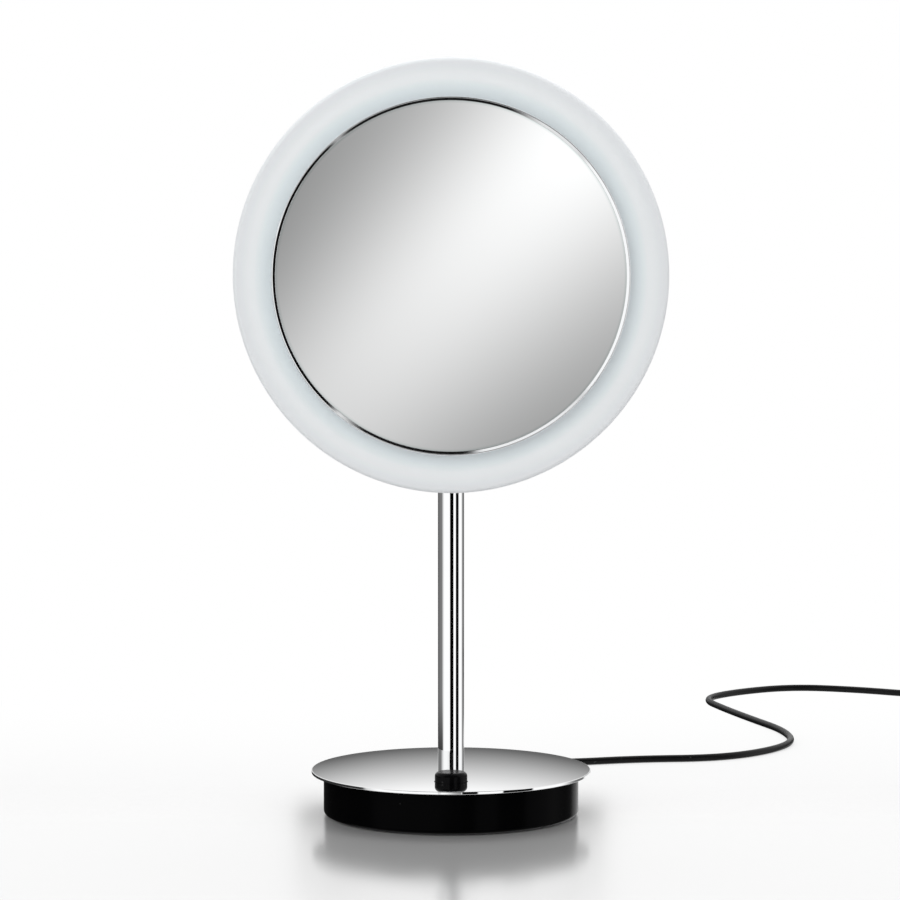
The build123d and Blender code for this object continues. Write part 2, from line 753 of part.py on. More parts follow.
spring_gap = 0.01                      # at each end of the spring
spring_free = flange_under - board_top - spring_wire - 2 * spring_gap
with BuildPart() as button_spring:
    with BuildLine() as spring_path:
        Helix(
            pitch=spring_free / spring_turns,
            height=spring_free,
            radius=(spring_diameter - spring_wire) / 2,
            center=(0, button_centre, board_top + spring_wire / 2 + spring_gap),
        )
    with BuildSketch(Plane(origin=spring_path.line @ 0, z_dir=spring_path.line % 0)):
        Circle(spring_wire / 2)
    sweep()
save(button_spring, "button_spring")

# Lead up the post, from the board's left socket
post_lead_low, post_lead_dip = 7.0, 8.0
socket_reach, drop_reach = 4.0, 5.5    # from the socket to where the lead bends down, and to its low end
lead_bend = 2.0
socket_face = board_centre + board_size[1] / 2
with BuildPart() as post_lead:
    with BuildLine() as post_lead_path:
        FilletPolyline(
            (-connector_x, socket_face, board_top + connector[2] / 2),
            (-connector_x, socket_face + socket_reach, board_top + connector[2] / 2),
            (-connector_x, socket_face + drop_reach, post_lead_dip),
            (0, 0, post_lead_low),
            (0, 0, clip_top - clip_thickness),
            radius=lead_bend,
        )
    with BuildSketch(Plane(origin=post_lead_path.line @ 0, z_dir=post_lead_path.line % 0)):
        Circle(head_lead_diameter / 2)
    sweep()
save(post_lead, "post_lead")

# Lead from the strain relief to the board's right socket
clear_of_nut = 16.0
turn_aside, past_nut, turn_back = 38.0, 16.0, -2.0   # how far back each bend is
past_nut_height, turn_back_height = 13.0, 13.5
right_reach = 6.0
base_lead_bends = [8.0, 8.0, 5.0, 3.0]
with BuildPart() as base_lead:
    with BuildLine() as base_lead_path:
        FilletPolyline(
            (0, inner_lead_end, cord_exit_height),
            (0, turn_aside, cord_exit_height),
            (clear_of_nut, past_nut, past_nut_height),
            (clear_of_nut, turn_back, turn_back_height),
            (connector_x, socket_face + right_reach, board_top + connector[2] / 2),
            (connector_x, socket_face, board_top + connector[2] / 2),
            radius=base_lead_bends,
        )
    with BuildSketch(Plane(origin=base_lead_path.line @ 0, z_dir=base_lead_path.line % 0)):
        Circle(cord_diameter / 2)
    sweep()
save(base_lead, "base_lead")

with BuildPart() as cord_clamp:
    with BuildSketch(Plane.XY.offset(clamp_top)):
        with Locations((0, clamp_y)):
            RectangleRounded(clamp_size[0], clamp_size[1], clamp_corner)
        with Locations(*clamp_spots):
            Circle(m25_shank / 2 + slip, mode=Mode.SUBTRACT)
    extrude(amount=-clamp_size[2])
save(cord_clamp, "cord_clamp")

clamp_screw_length = 9.0
clamp_screws = screws(
    under_plane(clamp_top - clamp_size[2]), [(x, -y) for x, y in clamp_spots],
    screw_core, m25_head, m25_head_height, clamp_screw_length,
)
save(clamp_screws, "clamp_screws")

# ---------------------------------------------------------------- free cord and its power supply

# Strain relief: flange inside the drum, groove in its wall, ribbed taper outside
relief_section = Plane.XY.offset(cord_exit_height)
relief_axis = Axis((0, 0, cord_exit_height), (0, 1, 0))
relief_start = drum_diameter / 2 + slip
relief_end = relief_start + relief_length
relief_slack = 0.5
relief_inside = drum_inner - relief_slack
collar_rise, collar_length, collar_slope = 0.6, 2.2, 0.6
flange_rise, flange_length, neck_overlap = 0.8, 2.2, 1.0
with BuildPart() as strain_relief:
    with BuildSketch(relief_section):
        Polygon(
            (cord_diameter / 2, relief_start), (relief_root / 2 + collar_rise, relief_start),
            (relief_root / 2 + collar_rise, relief_start + collar_length),
            (relief_root / 2, relief_start + collar_length + collar_slope),
            (relief_tip / 2, relief_end), (cord_diameter / 2, relief_end), align=None,
        )
        band(cord_diameter / 2, relief_groove / 2 - slip, relief_inside - neck_overlap, relief_start)
        band(cord_diameter / 2, relief_root / 2 + flange_rise, relief_inside - flange_length, relief_inside)
    revolve(axis=relief_axis)
save(strain_relief, "strain_relief")

# Coil of the put-away length: turns in three layers, resting on two ties
coil_centre = (326.0, 414.0)
coil_turns_across = 4
coil_layers = 3
coil_mean_radius = 22.0
tie_thickness, tie_width = 0.7, 5.0
layer_rise = 3.3
coil_half_width = coil_turns_across * cord_diameter / 2
coil_low = tie_thickness
coil_high = coil_low + cord_diameter + (coil_layers - 1) * layer_rise
coil_inner = coil_mean_radius - coil_half_width
coil_outer = coil_mean_radius + coil_half_width
top_half_width = coil_half_width - cord_diameter
shoulder = coil_low + cord_diameter


def coil_outline(grow, mode=Mode.ADD):
    """Section of the coil, wider by the given amount all round."""
    Polygon(
        (coil_inner - grow, coil_low - grow), (coil_outer + grow, coil_low - grow),
        (coil_outer + grow, shoulder), (coil_mean_radius + top_half_width + grow, coil_high + grow),
        (coil_mean_radius - top_half_width - grow, coil_high + grow), (coil_inner - grow, shoulder),
        align=None, mode=mode,
    )


def coil_plane(angle):
    """Upright plane through the coil's axis, at an angle round it."""
    across, along = cos(radians(angle)), sin(radians(angle))
    return Plane(origin=(*coil_centre, 0), x_dir=(across, along, 0), z_dir=(along, -across, 0))


with BuildPart() as cord_coil:
    with BuildSketch(coil_plane(0)):
        coil_outline(0)
    revolve(axis=Axis((*coil_centre, 0), (0, 0, 1)))
save(cord_coil, "cord_coil")

tie_angles = (20, 190)
with BuildPart() as coil_ties:
    for angle in tie_angles:
        with BuildSketch(coil_plane(angle)):
            coil_outline(tie_thickness)
            coil_outline(0, mode=Mode.SUBTRACT)
        extrude(amount=tie_width / 2, both=True)
save(coil_ties, "coil_ties")

# Free cord: from inside the strain relief, down to the table and away in two loose bends, to the coil
cord_lies = cord_diameter / 2
route = [
    (0, inner_lead_end, cord_exit_height),
    (0, 101, cord_exit_height),
    (6, 132, 5.5),
    (28, 149, cord_lies),
    (61, 149.5, cord_lies),
    (100, 162, cord_lies),
    (142, 165, cord_lies),
    (171, 187, cord_lies),
    (189, 220, cord_lies),
    (186.5, 262, cord_lies),
    (172, 303, cord_lies),
    (158, 346, cord_lies),
    (148, 384, cord_lies),
    (167, 411, cord_lies),
    (203, 434, cord_lies),
    (240, 424, cord_lies),
    (278, 402, cord_lies),
    (316.5, 388, coil_low + cord_lies),
]


def largest_arcs(points, share=0.45):
    """The largest radius for each corner that takes up no more than a share of its shorter run."""
    corners = [Vector(*p) for p in points]
    runs = [b - a for a, b in zip(corners, corners[1:])]
    return [
        share * min(a.length, b.length) / tan(radians(a.get_angle(b)) / 2)
        for a, b in zip(runs, runs[1:])
    ]


route_arcs = largest_arcs(route)
print("cord arc radii:", [round(r, 1) for r in route_arcs])
with BuildPart() as power_cord:
    with BuildLine() as route_path:
        FilletPolyline(*route, radius=route_arcs)
    with BuildSketch(Plane(origin=route_path.line @ 0, z_dir=route_path.line % 0)):
        Circle(cord_diameter / 2)
    sweep()
save(power_cord, "power_cord")
laid_length = sum(edge.length for edge in route_path.edges())
print("laid cord:", round(laid_length, 1), "long, volume", round(power_cord.part.volume, 1),
      "against", round(pi * (cord_diameter / 2) ** 2 * laid_length, 1))

# Power supply at the cord's end: it lies on the table beyond the coil
supply_turn = -14.0                    # direction of the supply's axis on the table
supply_start = (378.4, 376.3)          # tip of its strain relief
tail_length = 52.0
tail_height = 9.8
supply_height, supply_width = 24.0, 36.0
supply_corner, supply_wall = 4.0, 2.0
supply_relief_length = 18.0
supply_relief_root = 8.4
supply_body_length, supply_cover_length = 33.0, 11.0
nose_width, nose_height, nose_length = 34.0, 13.7, 12.0
pin_diameter_supply, pin_core, pin_length, pin_sleeve = 4.0, 3.2, 19.0, 10.0
pin_spread = 9.3
nose_rounding, pin_rounding = 1.2, 1.2
seam = 0.4


def supply_plane(along, height=supply_height / 2):
    """Upright plane across the supply, at a distance from the tip of its strain relief."""
    ahead, aside = cos(radians(supply_turn)), sin(radians(supply_turn))
    spot = (supply_start[0] + ahead * along, supply_start[1] + aside * along, height)
    return Plane(origin=spot, x_dir=(-aside, ahead, 0), z_dir=(ahead, aside, 0))


supply_axis = Axis((*supply_start, 0), supply_plane(0).z_dir)
with BuildPart() as cord_tail:
    with BuildSketch(supply_plane(0, tail_height)):
        Circle(cord_diameter / 2)
    extrude(amount=-tail_length)
save(cord_tail, "cord_tail")

with BuildPart() as supply_relief:
    with BuildSketch(supply_plane(0, tail_height)):
        Circle(relief_tip / 2)
    with BuildSketch(supply_plane(supply_relief_length, tail_height)):
        Circle(supply_relief_root / 2)
    loft()
save(supply_relief, "supply_relief")

body_start = supply_relief_length
cover_start = body_start + supply_body_length
nose_start = cover_start + supply_cover_length
pins_start = nose_start + nose_length
for name, start, length, wall_first in (
    ("supply_housing", body_start, supply_body_length, True),
    ("supply_cover", cover_start, supply_cover_length, False),
):
    closed_end = start if wall_first else start + length
    with BuildPart() as shell:
        with BuildSketch(supply_plane(start)):
            RectangleRounded(supply_width, supply_height, supply_corner)
        extrude(amount=length)
        ends = shell.faces().sort_by(supply_axis)
        fillet((ends[0] if wall_first else ends[-1]).edges(), supply_wall)
        chamfer((ends[-1] if wall_first else ends[0]).edges(), seam)
        with BuildSketch(supply_plane(start + (supply_wall if wall_first else 0))):
            RectangleRounded(
                supply_width - 2 * supply_wall, supply_height - 2 * supply_wall, supply_corner / 2
            )
        extrude(amount=length - supply_wall, mode=Mode.SUBTRACT)
    save(shell, name)

board_gap, board_lift = 1.0, 3.0
transformer_start, transformer_length, transformer_width, transformer_aside = 8.0, 15.0, 16.0, 3.0
supply_board_length = supply_body_length + supply_cover_length - 2 * supply_wall - 4 * board_gap
with BuildPart() as supply_board:
    with BuildSketch(supply_plane(body_start + supply_wall + board_gap)):
        with Locations((0, -supply_height / 2 + supply_wall + board_lift)):
            Rectangle(supply_width - 2 * (supply_wall + board_gap), board_thickness)
    extrude(amount=supply_board_length)
    with BuildSketch(supply_plane(body_start + supply_wall + transformer_start)):
        with Locations((transformer_aside, 0)):
            Rectangle(transformer_width, supply_height - 2 * (supply_wall + board_lift))
    extrude(amount=transformer_length)
save(supply_board, "supply_board")

with BuildPart() as supply_nose:
    with BuildSketch(supply_plane(nose_start)):
        SlotOverall(nose_width, nose_height)
    extrude(amount=nose_length)
    nose_face = supply_nose.faces().sort_by(supply_axis)[-1]
    fillet(nose_face.edges(), nose_rounding)
save(supply_nose, "supply_nose")

with BuildPart() as supply_pins:
    with BuildSketch(supply_plane(pins_start)):
        with Locations((-pin_spread, 0), (pin_spread, 0)):
            Circle(pin_core / 2)
    extrude(amount=pin_length)
    with BuildSketch(supply_plane(pins_start + pin_sleeve)):
        with Locations((-pin_spread, 0), (pin_spread, 0)):
            Circle(pin_diameter_supply / 2)
    extrude(amount=pin_length - pin_sleeve)
    tips = supply_pins.faces().sort_by(supply_axis)[-2:]
    fillet([edge for tip in tips for edge in tip.edges()], pin_rounding)
save(supply_pins, "supply_pins")

with BuildPart() as pin_sleeves:
    with BuildSketch(supply_plane(pins_start)):
        with Locations((-pin_spread, 0), (pin_spread, 0)):
            Circle(pin_diameter_supply / 2)
            Circle(pin_core / 2, mode=Mode.SUBTRACT)
    extrude(amount=pin_sleeve)
save(pin_sleeves, "pin_sleeves")
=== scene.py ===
import bpy
import json
from math import atan2, cos, pi, radians, sin, sqrt, tan
from mathutils import Matrix, Vector
from mathutils.geometry import delaunay_2d_cdt


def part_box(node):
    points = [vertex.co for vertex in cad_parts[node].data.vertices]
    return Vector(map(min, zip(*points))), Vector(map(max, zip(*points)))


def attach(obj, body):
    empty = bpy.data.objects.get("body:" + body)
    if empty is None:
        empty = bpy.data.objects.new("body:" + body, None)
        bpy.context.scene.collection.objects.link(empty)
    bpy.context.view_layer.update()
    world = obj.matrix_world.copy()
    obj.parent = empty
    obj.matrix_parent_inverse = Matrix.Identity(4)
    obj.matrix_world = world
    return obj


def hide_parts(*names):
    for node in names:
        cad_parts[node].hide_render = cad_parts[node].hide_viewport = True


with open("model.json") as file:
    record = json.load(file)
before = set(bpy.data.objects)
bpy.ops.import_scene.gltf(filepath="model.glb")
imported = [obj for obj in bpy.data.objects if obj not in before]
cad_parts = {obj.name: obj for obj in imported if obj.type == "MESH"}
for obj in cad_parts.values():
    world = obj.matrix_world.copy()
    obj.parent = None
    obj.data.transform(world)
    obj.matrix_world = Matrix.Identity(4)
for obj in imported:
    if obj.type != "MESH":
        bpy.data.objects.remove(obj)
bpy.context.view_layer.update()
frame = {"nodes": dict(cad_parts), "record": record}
nodes = frame["nodes"]
scene = bpy.context.scene
scene.view_settings.view_transform = "Standard"
mm = 0.001
print("frame loaded:", len(nodes), "pieces")

ringLow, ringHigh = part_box("light_ring")
headHeight = (ringLow.z + ringHigh.z) / 2


# Camera: a long lens a little above the mirror, looking slightly down
view = {"place": (-0.0005, -2.132, 0.369), "tip": 85.0, "lens": 172.7, "sensor": 36.0}
camera = bpy.data.objects.new("camera", bpy.data.cameras.new("camera"))
camera.location = view["place"]
camera.rotation_euler = (radians(view["tip"]), 0, 0)
camera.data.lens = view["lens"]
camera.data.sensor_width = view["sensor"]
scene.collection.objects.link(camera)
scene.camera = camera


# Lead: its route over the table, in millimetres, then the put-away coil and the run to the supply
lead = {
    "diameter": 3.8,
    "exit": (0, 85.6, 12),
    "route": [
        (0, 69, 12), (0, 101, 12), (6, 132, 5.5), (28, 149, 1.9), (61, 149.5, 1.9), (100, 162, 1.9),
        (142, 165, 1.9), (171, 187, 1.9), (189, 220, 1.9), (186.5, 262, 1.9), (172, 303, 1.9),
        (158, 346, 1.9), (148, 384, 1.9), (167, 411, 1.9), (203, 434, 1.9), (240, 424, 1.9), (278, 402, 1.9),
    ],
    "coilCentre": (326, 414),
    "coilStart": -110.0,
    "coilEnd": -104.0,
    "turns": [
        (27.7, 2.6), (23.9, 2.6), (20.1, 2.6), (16.3, 2.6),
        (18.2, 5.9), (22.0, 5.9), (25.8, 5.9), (23.9, 9.2),
    ],
    "stepsPerTurn": 16,
    "supplyTip": (378.4, 376.3, 9.8),
    "supplyTurn": -14.0,
    "intoSupply": 4.0,
    "tailAt": (0.7, 0.35, 0.0),
}


def coilPoints(facts):
    # each turn drifts to the next one's radius and height over its last quarter
    centreX, centreY = facts["coilCentre"]
    turns = facts["turns"]
    steps = facts["stepsPerTurn"]
    total = len(turns) * 360 + facts["coilEnd"] - facts["coilStart"]
    points = []
    for step in range(int(total / 360 * steps) + 1):
        whole, part = divmod(step / steps, 1)
        here = turns[min(int(whole), len(turns) - 1)]
        after = turns[min(int(whole) + 1, len(turns) - 1)]
        drift = max(0.0, (part - 0.75) * 4)
        drift = drift * drift * (3 - 2 * drift)
        radius = here[0] + (after[0] - here[0]) * drift
        height = here[1] + (after[1] - here[1]) * drift
        angle = radians(facts["coilStart"] + 360 * step / steps)
        points.append((centreX + radius * cos(angle), centreY + radius * sin(angle), height))
    return points


def makeLead(facts):
    turn = radians(facts["supplyTurn"])
    tipX, tipY, tipZ = facts["supplyTip"]
    wound = coilPoints(facts)
    lastX, lastY = wound[-1][:2]
    reach = sqrt((tipX - lastX) ** 2 + (tipY - lastY) ** 2)
    ahead, aside = cos(turn), sin(turn)
    stops = [reach * share for share in facts["tailAt"]] + [-facts["intoSupply"]]
    tail = [(tipX - stop * ahead, tipY - stop * aside, tipZ) for stop in stops]
    points = facts["route"] + wound + tail
    curve = bpy.data.curves.new("powerLead", "CURVE")
    curve.dimensions = "3D"
    curve.resolution_u = 8
    curve.bevel_depth = 1.0  # times each point's radius
    curve.bevel_resolution = 6
    curve.use_fill_caps = True
    spline = curve.splines.new("NURBS")
    spline.points.add(len(points) - 1)
    for point, spot in zip(spline.points, points):
        point.co = (*[c * mm for c in spot], 1)
        point.radius = facts["diameter"] / 2 * mm
    spline.order_u = 3
    spline.use_endpoint_u = True
    piece = bpy.data.objects.new("powerLead", curve)
    scene.collection.objects.link(piece)
    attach(piece, "base")
    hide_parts("power_cord", "cord_coil", "cord_tail")
    return piece


powerLead = makeLead(lead)
print("lead laid")


class MeshMaker:
    # collects faces with exact normals, and joins corners that meet
    def __init__(self):
        self.corners = {}
        self.faces = []
        self.normals = []

    def corner(self, point):
        key = tuple(round(c * 1e7) for c in point)
        return self.corners.setdefault(key, (len(self.corners), tuple(point)))[0]

    def face(self, points, normals):
        found = [self.corner(p) for p in points]
        kept = [i for i in range(len(found)) if found[i] != found[i - 1]]
        if len(kept) < 3:
            return
        self.faces.append([found[i] for i in kept])
        self.normals.extend(tuple(normals[i]) for i in kept)

    def piece(self, name, body, stands, slot, material):
        mesh = bpy.data.meshes.new(name)
        mesh.from_pydata([spot for _, spot in self.corners.values()], [], self.faces)
        mesh.shade_smooth()
        mesh.normals_split_custom_set(self.normals)
        mesh.materials.append(material)
        made = bpy.data.objects.new(name, mesh)
        scene.collection.objects.link(made)
        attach(made, body)
        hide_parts(*stands)
        return made


def outline(corners, closed=True, step=0.26):
    # edges of a section with the material on the left;
    # each corner is its radius, its place along the axis and its rounding, in mm
    spots = [Vector((c[0] * mm, c[1] * mm)) for c in corners]
    count = len(spots)
    ends = []
    arcs = []
    for i, spot in enumerate(spots):
        rounding = corners[i][2] * mm if len(corners[i]) > 2 else 0.0
        isEnd = not closed and i in (0, count - 1)
        if rounding == 0 or isEnd:
            ends.append((spot, spot))
            arcs.append([])
            continue
        before = (spot - spots[i - 1]).normalized()
        after = (spots[(i + 1) % count] - spot).normalized()
        turn = atan2(before.x * after.y - before.y * after.x, before.dot(after))
        reach = rounding * tan(abs(turn) / 2)
        start = spot - before * reach
        side = 1 if turn > 0 else -1
        first = Vector((before.y, -before.x))
        centre = start - first * rounding * side
        pieces = max(2, int(abs(turn) / step))
        line = []
        for k in range(pieces + 1):
            part = turn * k / pieces
            c, s = cos(part), sin(part)
            normal = Vector((first.x * c - first.y * s, first.x * s + first.y * c))
            line.append((centre + normal * rounding * side, normal))
        ends.append((line[0][0], line[-1][0]))
        arcs.append(line)
    edges = []
    for i in range(count):
        edges += [(a[0], b[0], a[1], b[1]) for a, b in zip(arcs[i], arcs[i][1:])]
        if i == count - 1 and not closed:
            break
        start, end = ends[i][1], ends[(i + 1) % count][0]
        if (end - start).length > 1e-9:
            along = (end - start).normalized()
            normal = Vector((along.y, -along.x))
            edges.append((start, end, normal, normal))
    return edges


def dish(centre, radius, inner, outer, towardsUser, pieces=40):
    # edges of a curved face, from one distance off the axis to another;
    # its centre of curvature is on the axis
    edges = []
    side = -1 if towardsUser else 1

    def at(r):
        depth = sqrt(radius * radius - r * r)
        return Vector((r, centre + depth)), Vector((r / radius, depth / radius)) * side
    for k in range(pieces):
        a, b = (at(inner + (outer - inner) * part / pieces) for part in (k, k + 1))
        edges.append((a[0], b[0], a[1], b[1]))
    return edges


def lathe(maker, edges, place, steps=192):
    # turns a section round the z axis of the given matrix
    turnOnly = place.to_3x3()
    ring = [(cos(2 * pi * k / steps), sin(2 * pi * k / steps)) for k in range(steps)]
    for start, end, startNormal, endNormal in edges:
        for k in range(steps):
            corners = []
            normals = []
            for (c, s), (spot, normal) in (
                (ring[k], (start, startNormal)), (ring[(k + 1) % steps], (start, startNormal)),
                (ring[(k + 1) % steps], (end, endNormal)), (ring[k], (end, endNormal)),
            ):
                corners.append(place @ Vector((spot.x * c, spot.x * s, spot.y)))
                normals.append(turnOnly @ Vector((normal.x * c, normal.x * s, normal.y)))
            maker.face(corners, normals)


def sheet(maker, radius, holes, height, facingUp, place, steps=192):
    # flat round face with round holes: each hole is x, y and radius, in metres
    turnOnly = place.to_3x3()
    rims = [[(radius * cos(2 * pi * k / steps), radius * sin(2 * pi * k / steps)) for k in range(steps)]]
    for x, y, r in holes:
        turns = [2 * pi * k / holeSteps(r) for k in range(holeSteps(r))]
        rims.append([(x + r * cos(turn), y - r * sin(turn)) for turn in turns])
    spots = []
    borders = []
    for rim in rims:
        first = len(spots)
        spots += [Vector(p) for p in rim]
        borders.append(list(range(first, len(spots))))
    flat, _, faces, _, _, _ = delaunay_2d_cdt(spots, [], borders, 1, 1e-9)
    normal = turnOnly @ Vector((0, 0, 1 if facingUp else -1))
    for face in faces:
        if any(all((flat[i] - Vector((x, y))).length < r * 1.0001 for i in face) for x, y, r in holes):
            continue
        order = face if facingUp else face[::-1]
        maker.face([place @ Vector((flat[i].x, flat[i].y, height)) for i in order], [normal] * len(order))


def holeSteps(radius):
    return 96 if radius > 4 * mm else 48


def hole(maker, x, y, edges, place):
    # wall of a hole, from its own section
    lathe(maker, edges, place @ Matrix.Translation((x, y, 0)), holeSteps(edges[0][0].x))


# the head's axis runs towards the back, and the post's and the base's runs up
alongHead = Matrix(((1, 0, 0, 0), (0, 0, 1, 0), (0, -1, 0, headHeight), (0, 0, 0, 1)))
upright = Matrix.Identity(4)


class Signal:
    # a node's output that Python arithmetic works on
    def __init__(self, tree, output):
        self.tree = tree
        self.output = output

    def calc(self, operation, *others):
        return self.tree.node("ShaderNodeMath", {"operation": operation}, dict(enumerate((self, *others))))

    def __add__(self, other):
        return self.calc("ADD", other)

    def __sub__(self, other):
        return self.calc("SUBTRACT", other)

    def __mul__(self, other):
        return self.calc("MULTIPLY", other)

    def __truediv__(self, other):
        return self.calc("DIVIDE", other)

    def __pow__(self, other):
        return self.calc("POWER", other)

    def __neg__(self):
        return self.calc("MULTIPLY", -1.0)

    def __rsub__(self, other):
        return self.tree.node("ShaderNodeMath", {"operation": "SUBTRACT"}, {0: other, 1: self})

    __radd__ = __add__
    __rmul__ = __mul__


class Tree:
    def __init__(self, nodeTree):
        self.nodes = nodeTree.nodes
        self.links = nodeTree.links

    def feed(self, socket, value):
        if isinstance(value, Signal):
            self.links.new(value.output, socket)
        else:
            socket.default_value = value

    def node(self, kind, settings=None, sockets=None, output=0):
        made = self.nodes.new(kind)
        for name, value in (settings or {}).items():
            if name == "stops":
                setStops(made.color_ramp, value)
            else:
                setattr(made, name, value)
        for name, value in (sockets or {}).items():
            self.feed(made.inputs[name], value)
        return Signal(self, made.outputs[output])

    def split(self, vector):
        made = self.node("ShaderNodeSeparateXYZ", {}, {0: vector})
        return [Signal(self, made.output.node.outputs[axis]) for axis in range(3)]

    def join(self, x, y, z):
        return self.node("ShaderNodeCombineXYZ", {}, {0: x, 1: y, 2: z})

    def step(self, signal, low, high, fromValue=0.0, toValue=1.0, way="SMOOTHSTEP"):
        # change from one value to another between two limits
        return self.node(
            "ShaderNodeMapRange", {"interpolation_type": way},
            {"Value": signal, "From Min": low, "From Max": high, "To Min": fromValue, "To Max": toValue},
        )

    def blend(self, factor, first, second, mode="MIX"):
        return self.node(
            "ShaderNodeMix", {"data_type": "RGBA", "blend_type": mode, "clamp_factor": True},
            {0: factor, 6: first, 7: second}, 2,
        )


def setStops(ramp, stops):
    while len(ramp.elements) > 1:
        ramp.elements.remove(ramp.elements[-1])
    ramp.elements[0].position, ramp.elements[0].color = stops[0]
    for position, color in stops[1:]:
        ramp.elements.new(position).color = color


def grey(level):
    return (level, level, level, 1.0)


def shade(color, factor):
    return (*[min(1.0, c * factor) for c in color[:3]], 1.0)


class Paint(Tree):
    def __init__(self, name, color, **constants):
        self.material = bpy.data.materials.new(name)
        self.material.use_nodes = True
        super().__init__(self.material.node_tree)
        self.shader = self.nodes["Principled BSDF"]
        self.spot = self.node("ShaderNodeTexCoord", {}, {}, "Object")
        self.color = (*color, 1.0)
        self.set("Base Color", self.color)
        for socket, value in constants.items():
            self.set(socket.replace("_", " "), value)

    def set(self, socket, value):
        self.feed(self.shader.inputs[socket], value)

    def noise(self, size, detail=3.0, roughness=0.5, stretch=(1, 1, 1), where=None):
        spot = self.node(
            "ShaderNodeVectorMath", {"operation": "MULTIPLY"},
            {0: where or self.spot, 1: [share / size for share in stretch]},
        )
        return self.node(
            "ShaderNodeTexNoise", {"noise_dimensions": "3D"},
            {"Vector": spot, "Scale": 1.0, "Detail": detail, "Roughness": roughness},
        )

    def cells(self, size, feature="F1", where=None):
        return self.node(
            "ShaderNodeTexVoronoi", {"voronoi_dimensions": "3D", "feature": feature},
            {"Vector": where or self.spot, "Scale": 1 / size},
        )

    def fromAxis(self, axis, centre):
        # distance from an axis that runs along x, y or z through a point
        parts = [part - middle for part, middle in zip(self.split(self.spot), centre)]
        a, b = [parts[i] for i in range(3) if i != "xyz".index(axis)]
        return (a * a + b * b) ** 0.5

    def bump(self, height, depth, strength=1.0):
        made = self.node("ShaderNodeBump", {}, {"Height": height, "Distance": depth, "Strength": strength})
        self.set("Normal", made)


# Finishes: the sizes are in metres, the strengths between 0 and 1
finishes = {}
wear = {"haze": 0.035, "wipe": 0.004, "speck": 0.0023, "spread": 0.011}
silver = {"edgeFrom": 0.0835, "edgeTo": 0.0855, "edge": (0.70, 0.76, 0.75, 1)}
strip = {"middle": -0.0335, "padsRound": 42.0, "padsAcross": 1400.0, "copper": (0.78, 0.50, 0.28, 1)}
chip = {"face": 0.0729, "faceEnd": 0.07305, "half": 0.0011, "halfEnd": 0.0009}


def polished(slot, color, rough=0.025, smudge=0.05, dust=0.1):
    # chrome: a faint wiped haze and a few specks of dust
    paint = Paint(slot, color, Metallic=1.0)
    haze = paint.step(paint.noise(wear["haze"], 4.0, 0.6), 0.52, 0.72)
    wipe = paint.step(paint.noise(wear["wipe"], 2.0, 0.5, (0.25, 1, 1)), 0.45, 0.75)
    specks = paint.step(paint.cells(wear["speck"]), 0.09, 0.03)
    lone = paint.step(paint.noise(wear["spread"], 1.0), 0.6, 0.66)
    paint.set("Roughness", rough + haze * wipe * smudge + specks * lone * dust)
    paint.set("Base Color", paint.blend(haze * 0.35, paint.color, shade(color, 0.955)))
    finishes[slot] = paint.material


def worked(slot, color, rough, grain, stretch, depth, speckle=0.0, tone=0.85, metallic=1.0):
    # metal with a direction or a grain: brushed, turned, cast, plated or painted
    paint = Paint(slot, color, Metallic=metallic)
    fine = paint.noise(grain, 4.0, 0.6, stretch)
    broad = paint.noise(grain * 14, 3.0)
    mottle = paint.step(fine * 0.6 + broad * 0.4, 0.35, 0.65)
    paint.set("Base Color", paint.blend(mottle, shade(color, tone), paint.color))
    spots = paint.step(paint.cells(grain * 5), 0.25, 0.1)
    paint.set("Roughness", rough + fine * 0.16 - 0.08 + spots * speckle)
    paint.bump(fine + spots * speckle, depth, 0.5)
    finishes[slot] = paint.material


def moulded(slot, color, rough, grain, depth, mottle=0.12, specular=0.5, lint=0.0):
    # plastic and rubber: a moulded grain, slight clouding and lint
    paint = Paint(slot, color, Specular_IOR_Level=specular)
    texture = paint.noise(grain, 3.0, 0.55)
    clouds = paint.noise(grain * 30, 3.0)
    body = paint.blend(paint.step(clouds, 0.3, 0.7), shade(color, 1 - mottle), shade(color, 1 + mottle))
    threads = paint.step(paint.noise(0.0022, 2.0, 0.5, (1, 0.18, 1)), 0.7, 0.76)
    paint.set("Base Color", paint.blend(threads * lint, body, grey(0.35)))
    paint.set("Roughness", rough + texture * 0.14 - 0.07 + paint.step(clouds, 0.4, 0.7) * 0.05)
    paint.bump(texture, depth, 0.4)
    finishes[slot] = paint.material


def silveredGlass(slot):
    paint = Paint(slot, (0.93, 0.935, 0.935), Metallic=1.0)
    fromMiddle = paint.fromAxis("y", (0, 0, headHeight))
    wiped = paint.step(paint.noise(0.06, 3.0, 0.5, (1, 1, 0.4)), 0.5, 0.75)
    specks = paint.step(paint.cells(0.004), 0.06, 0.02) * paint.step(paint.noise(0.02, 1.0), 0.58, 0.64)
    edge = paint.step(fromMiddle, silver["edgeFrom"], silver["edgeTo"])
    paint.set("Base Color", paint.blend(edge, paint.color, silver["edge"]))
    paint.set("Roughness", 0.012 + wiped * 0.02 + specks * 0.12)
    finishes[slot] = paint.material


# ring's tones from the bezel's edge to the rim, with painted shade beside the bezel and at the rim: place
# across it, then colour
acrylic = {
    "from": 0.087, "to": 0.106,
    # tone: the cool tint is darkened beside the bezel and slightly at the rim, which is painted shade
    "tone": [(0.0, (0.60, 0.70, 0.73, 1)), (0.5, (0.80, 0.835, 0.85, 1)), (1.0, (0.77, 0.79, 0.81, 1))],
    # glow: the ring's own light, lowered beside the bezel and falling off at the rim as painted shade
    "glowWithPaintedShade": [
        (0.0, (0.200, 0.186, 0.190, 1)), (0.20, (0.225, 0.222, 0.222, 1)), (0.42, (0.222, 0.222, 0.220, 1)),
        (0.62, (0.200, 0.200, 0.200, 1)), (0.78, (0.170, 0.172, 0.172, 1)), (0.93, (0.150, 0.152, 0.152, 1)),
        (1.0, (0.075, 0.075, 0.076, 1)),
    ],
}


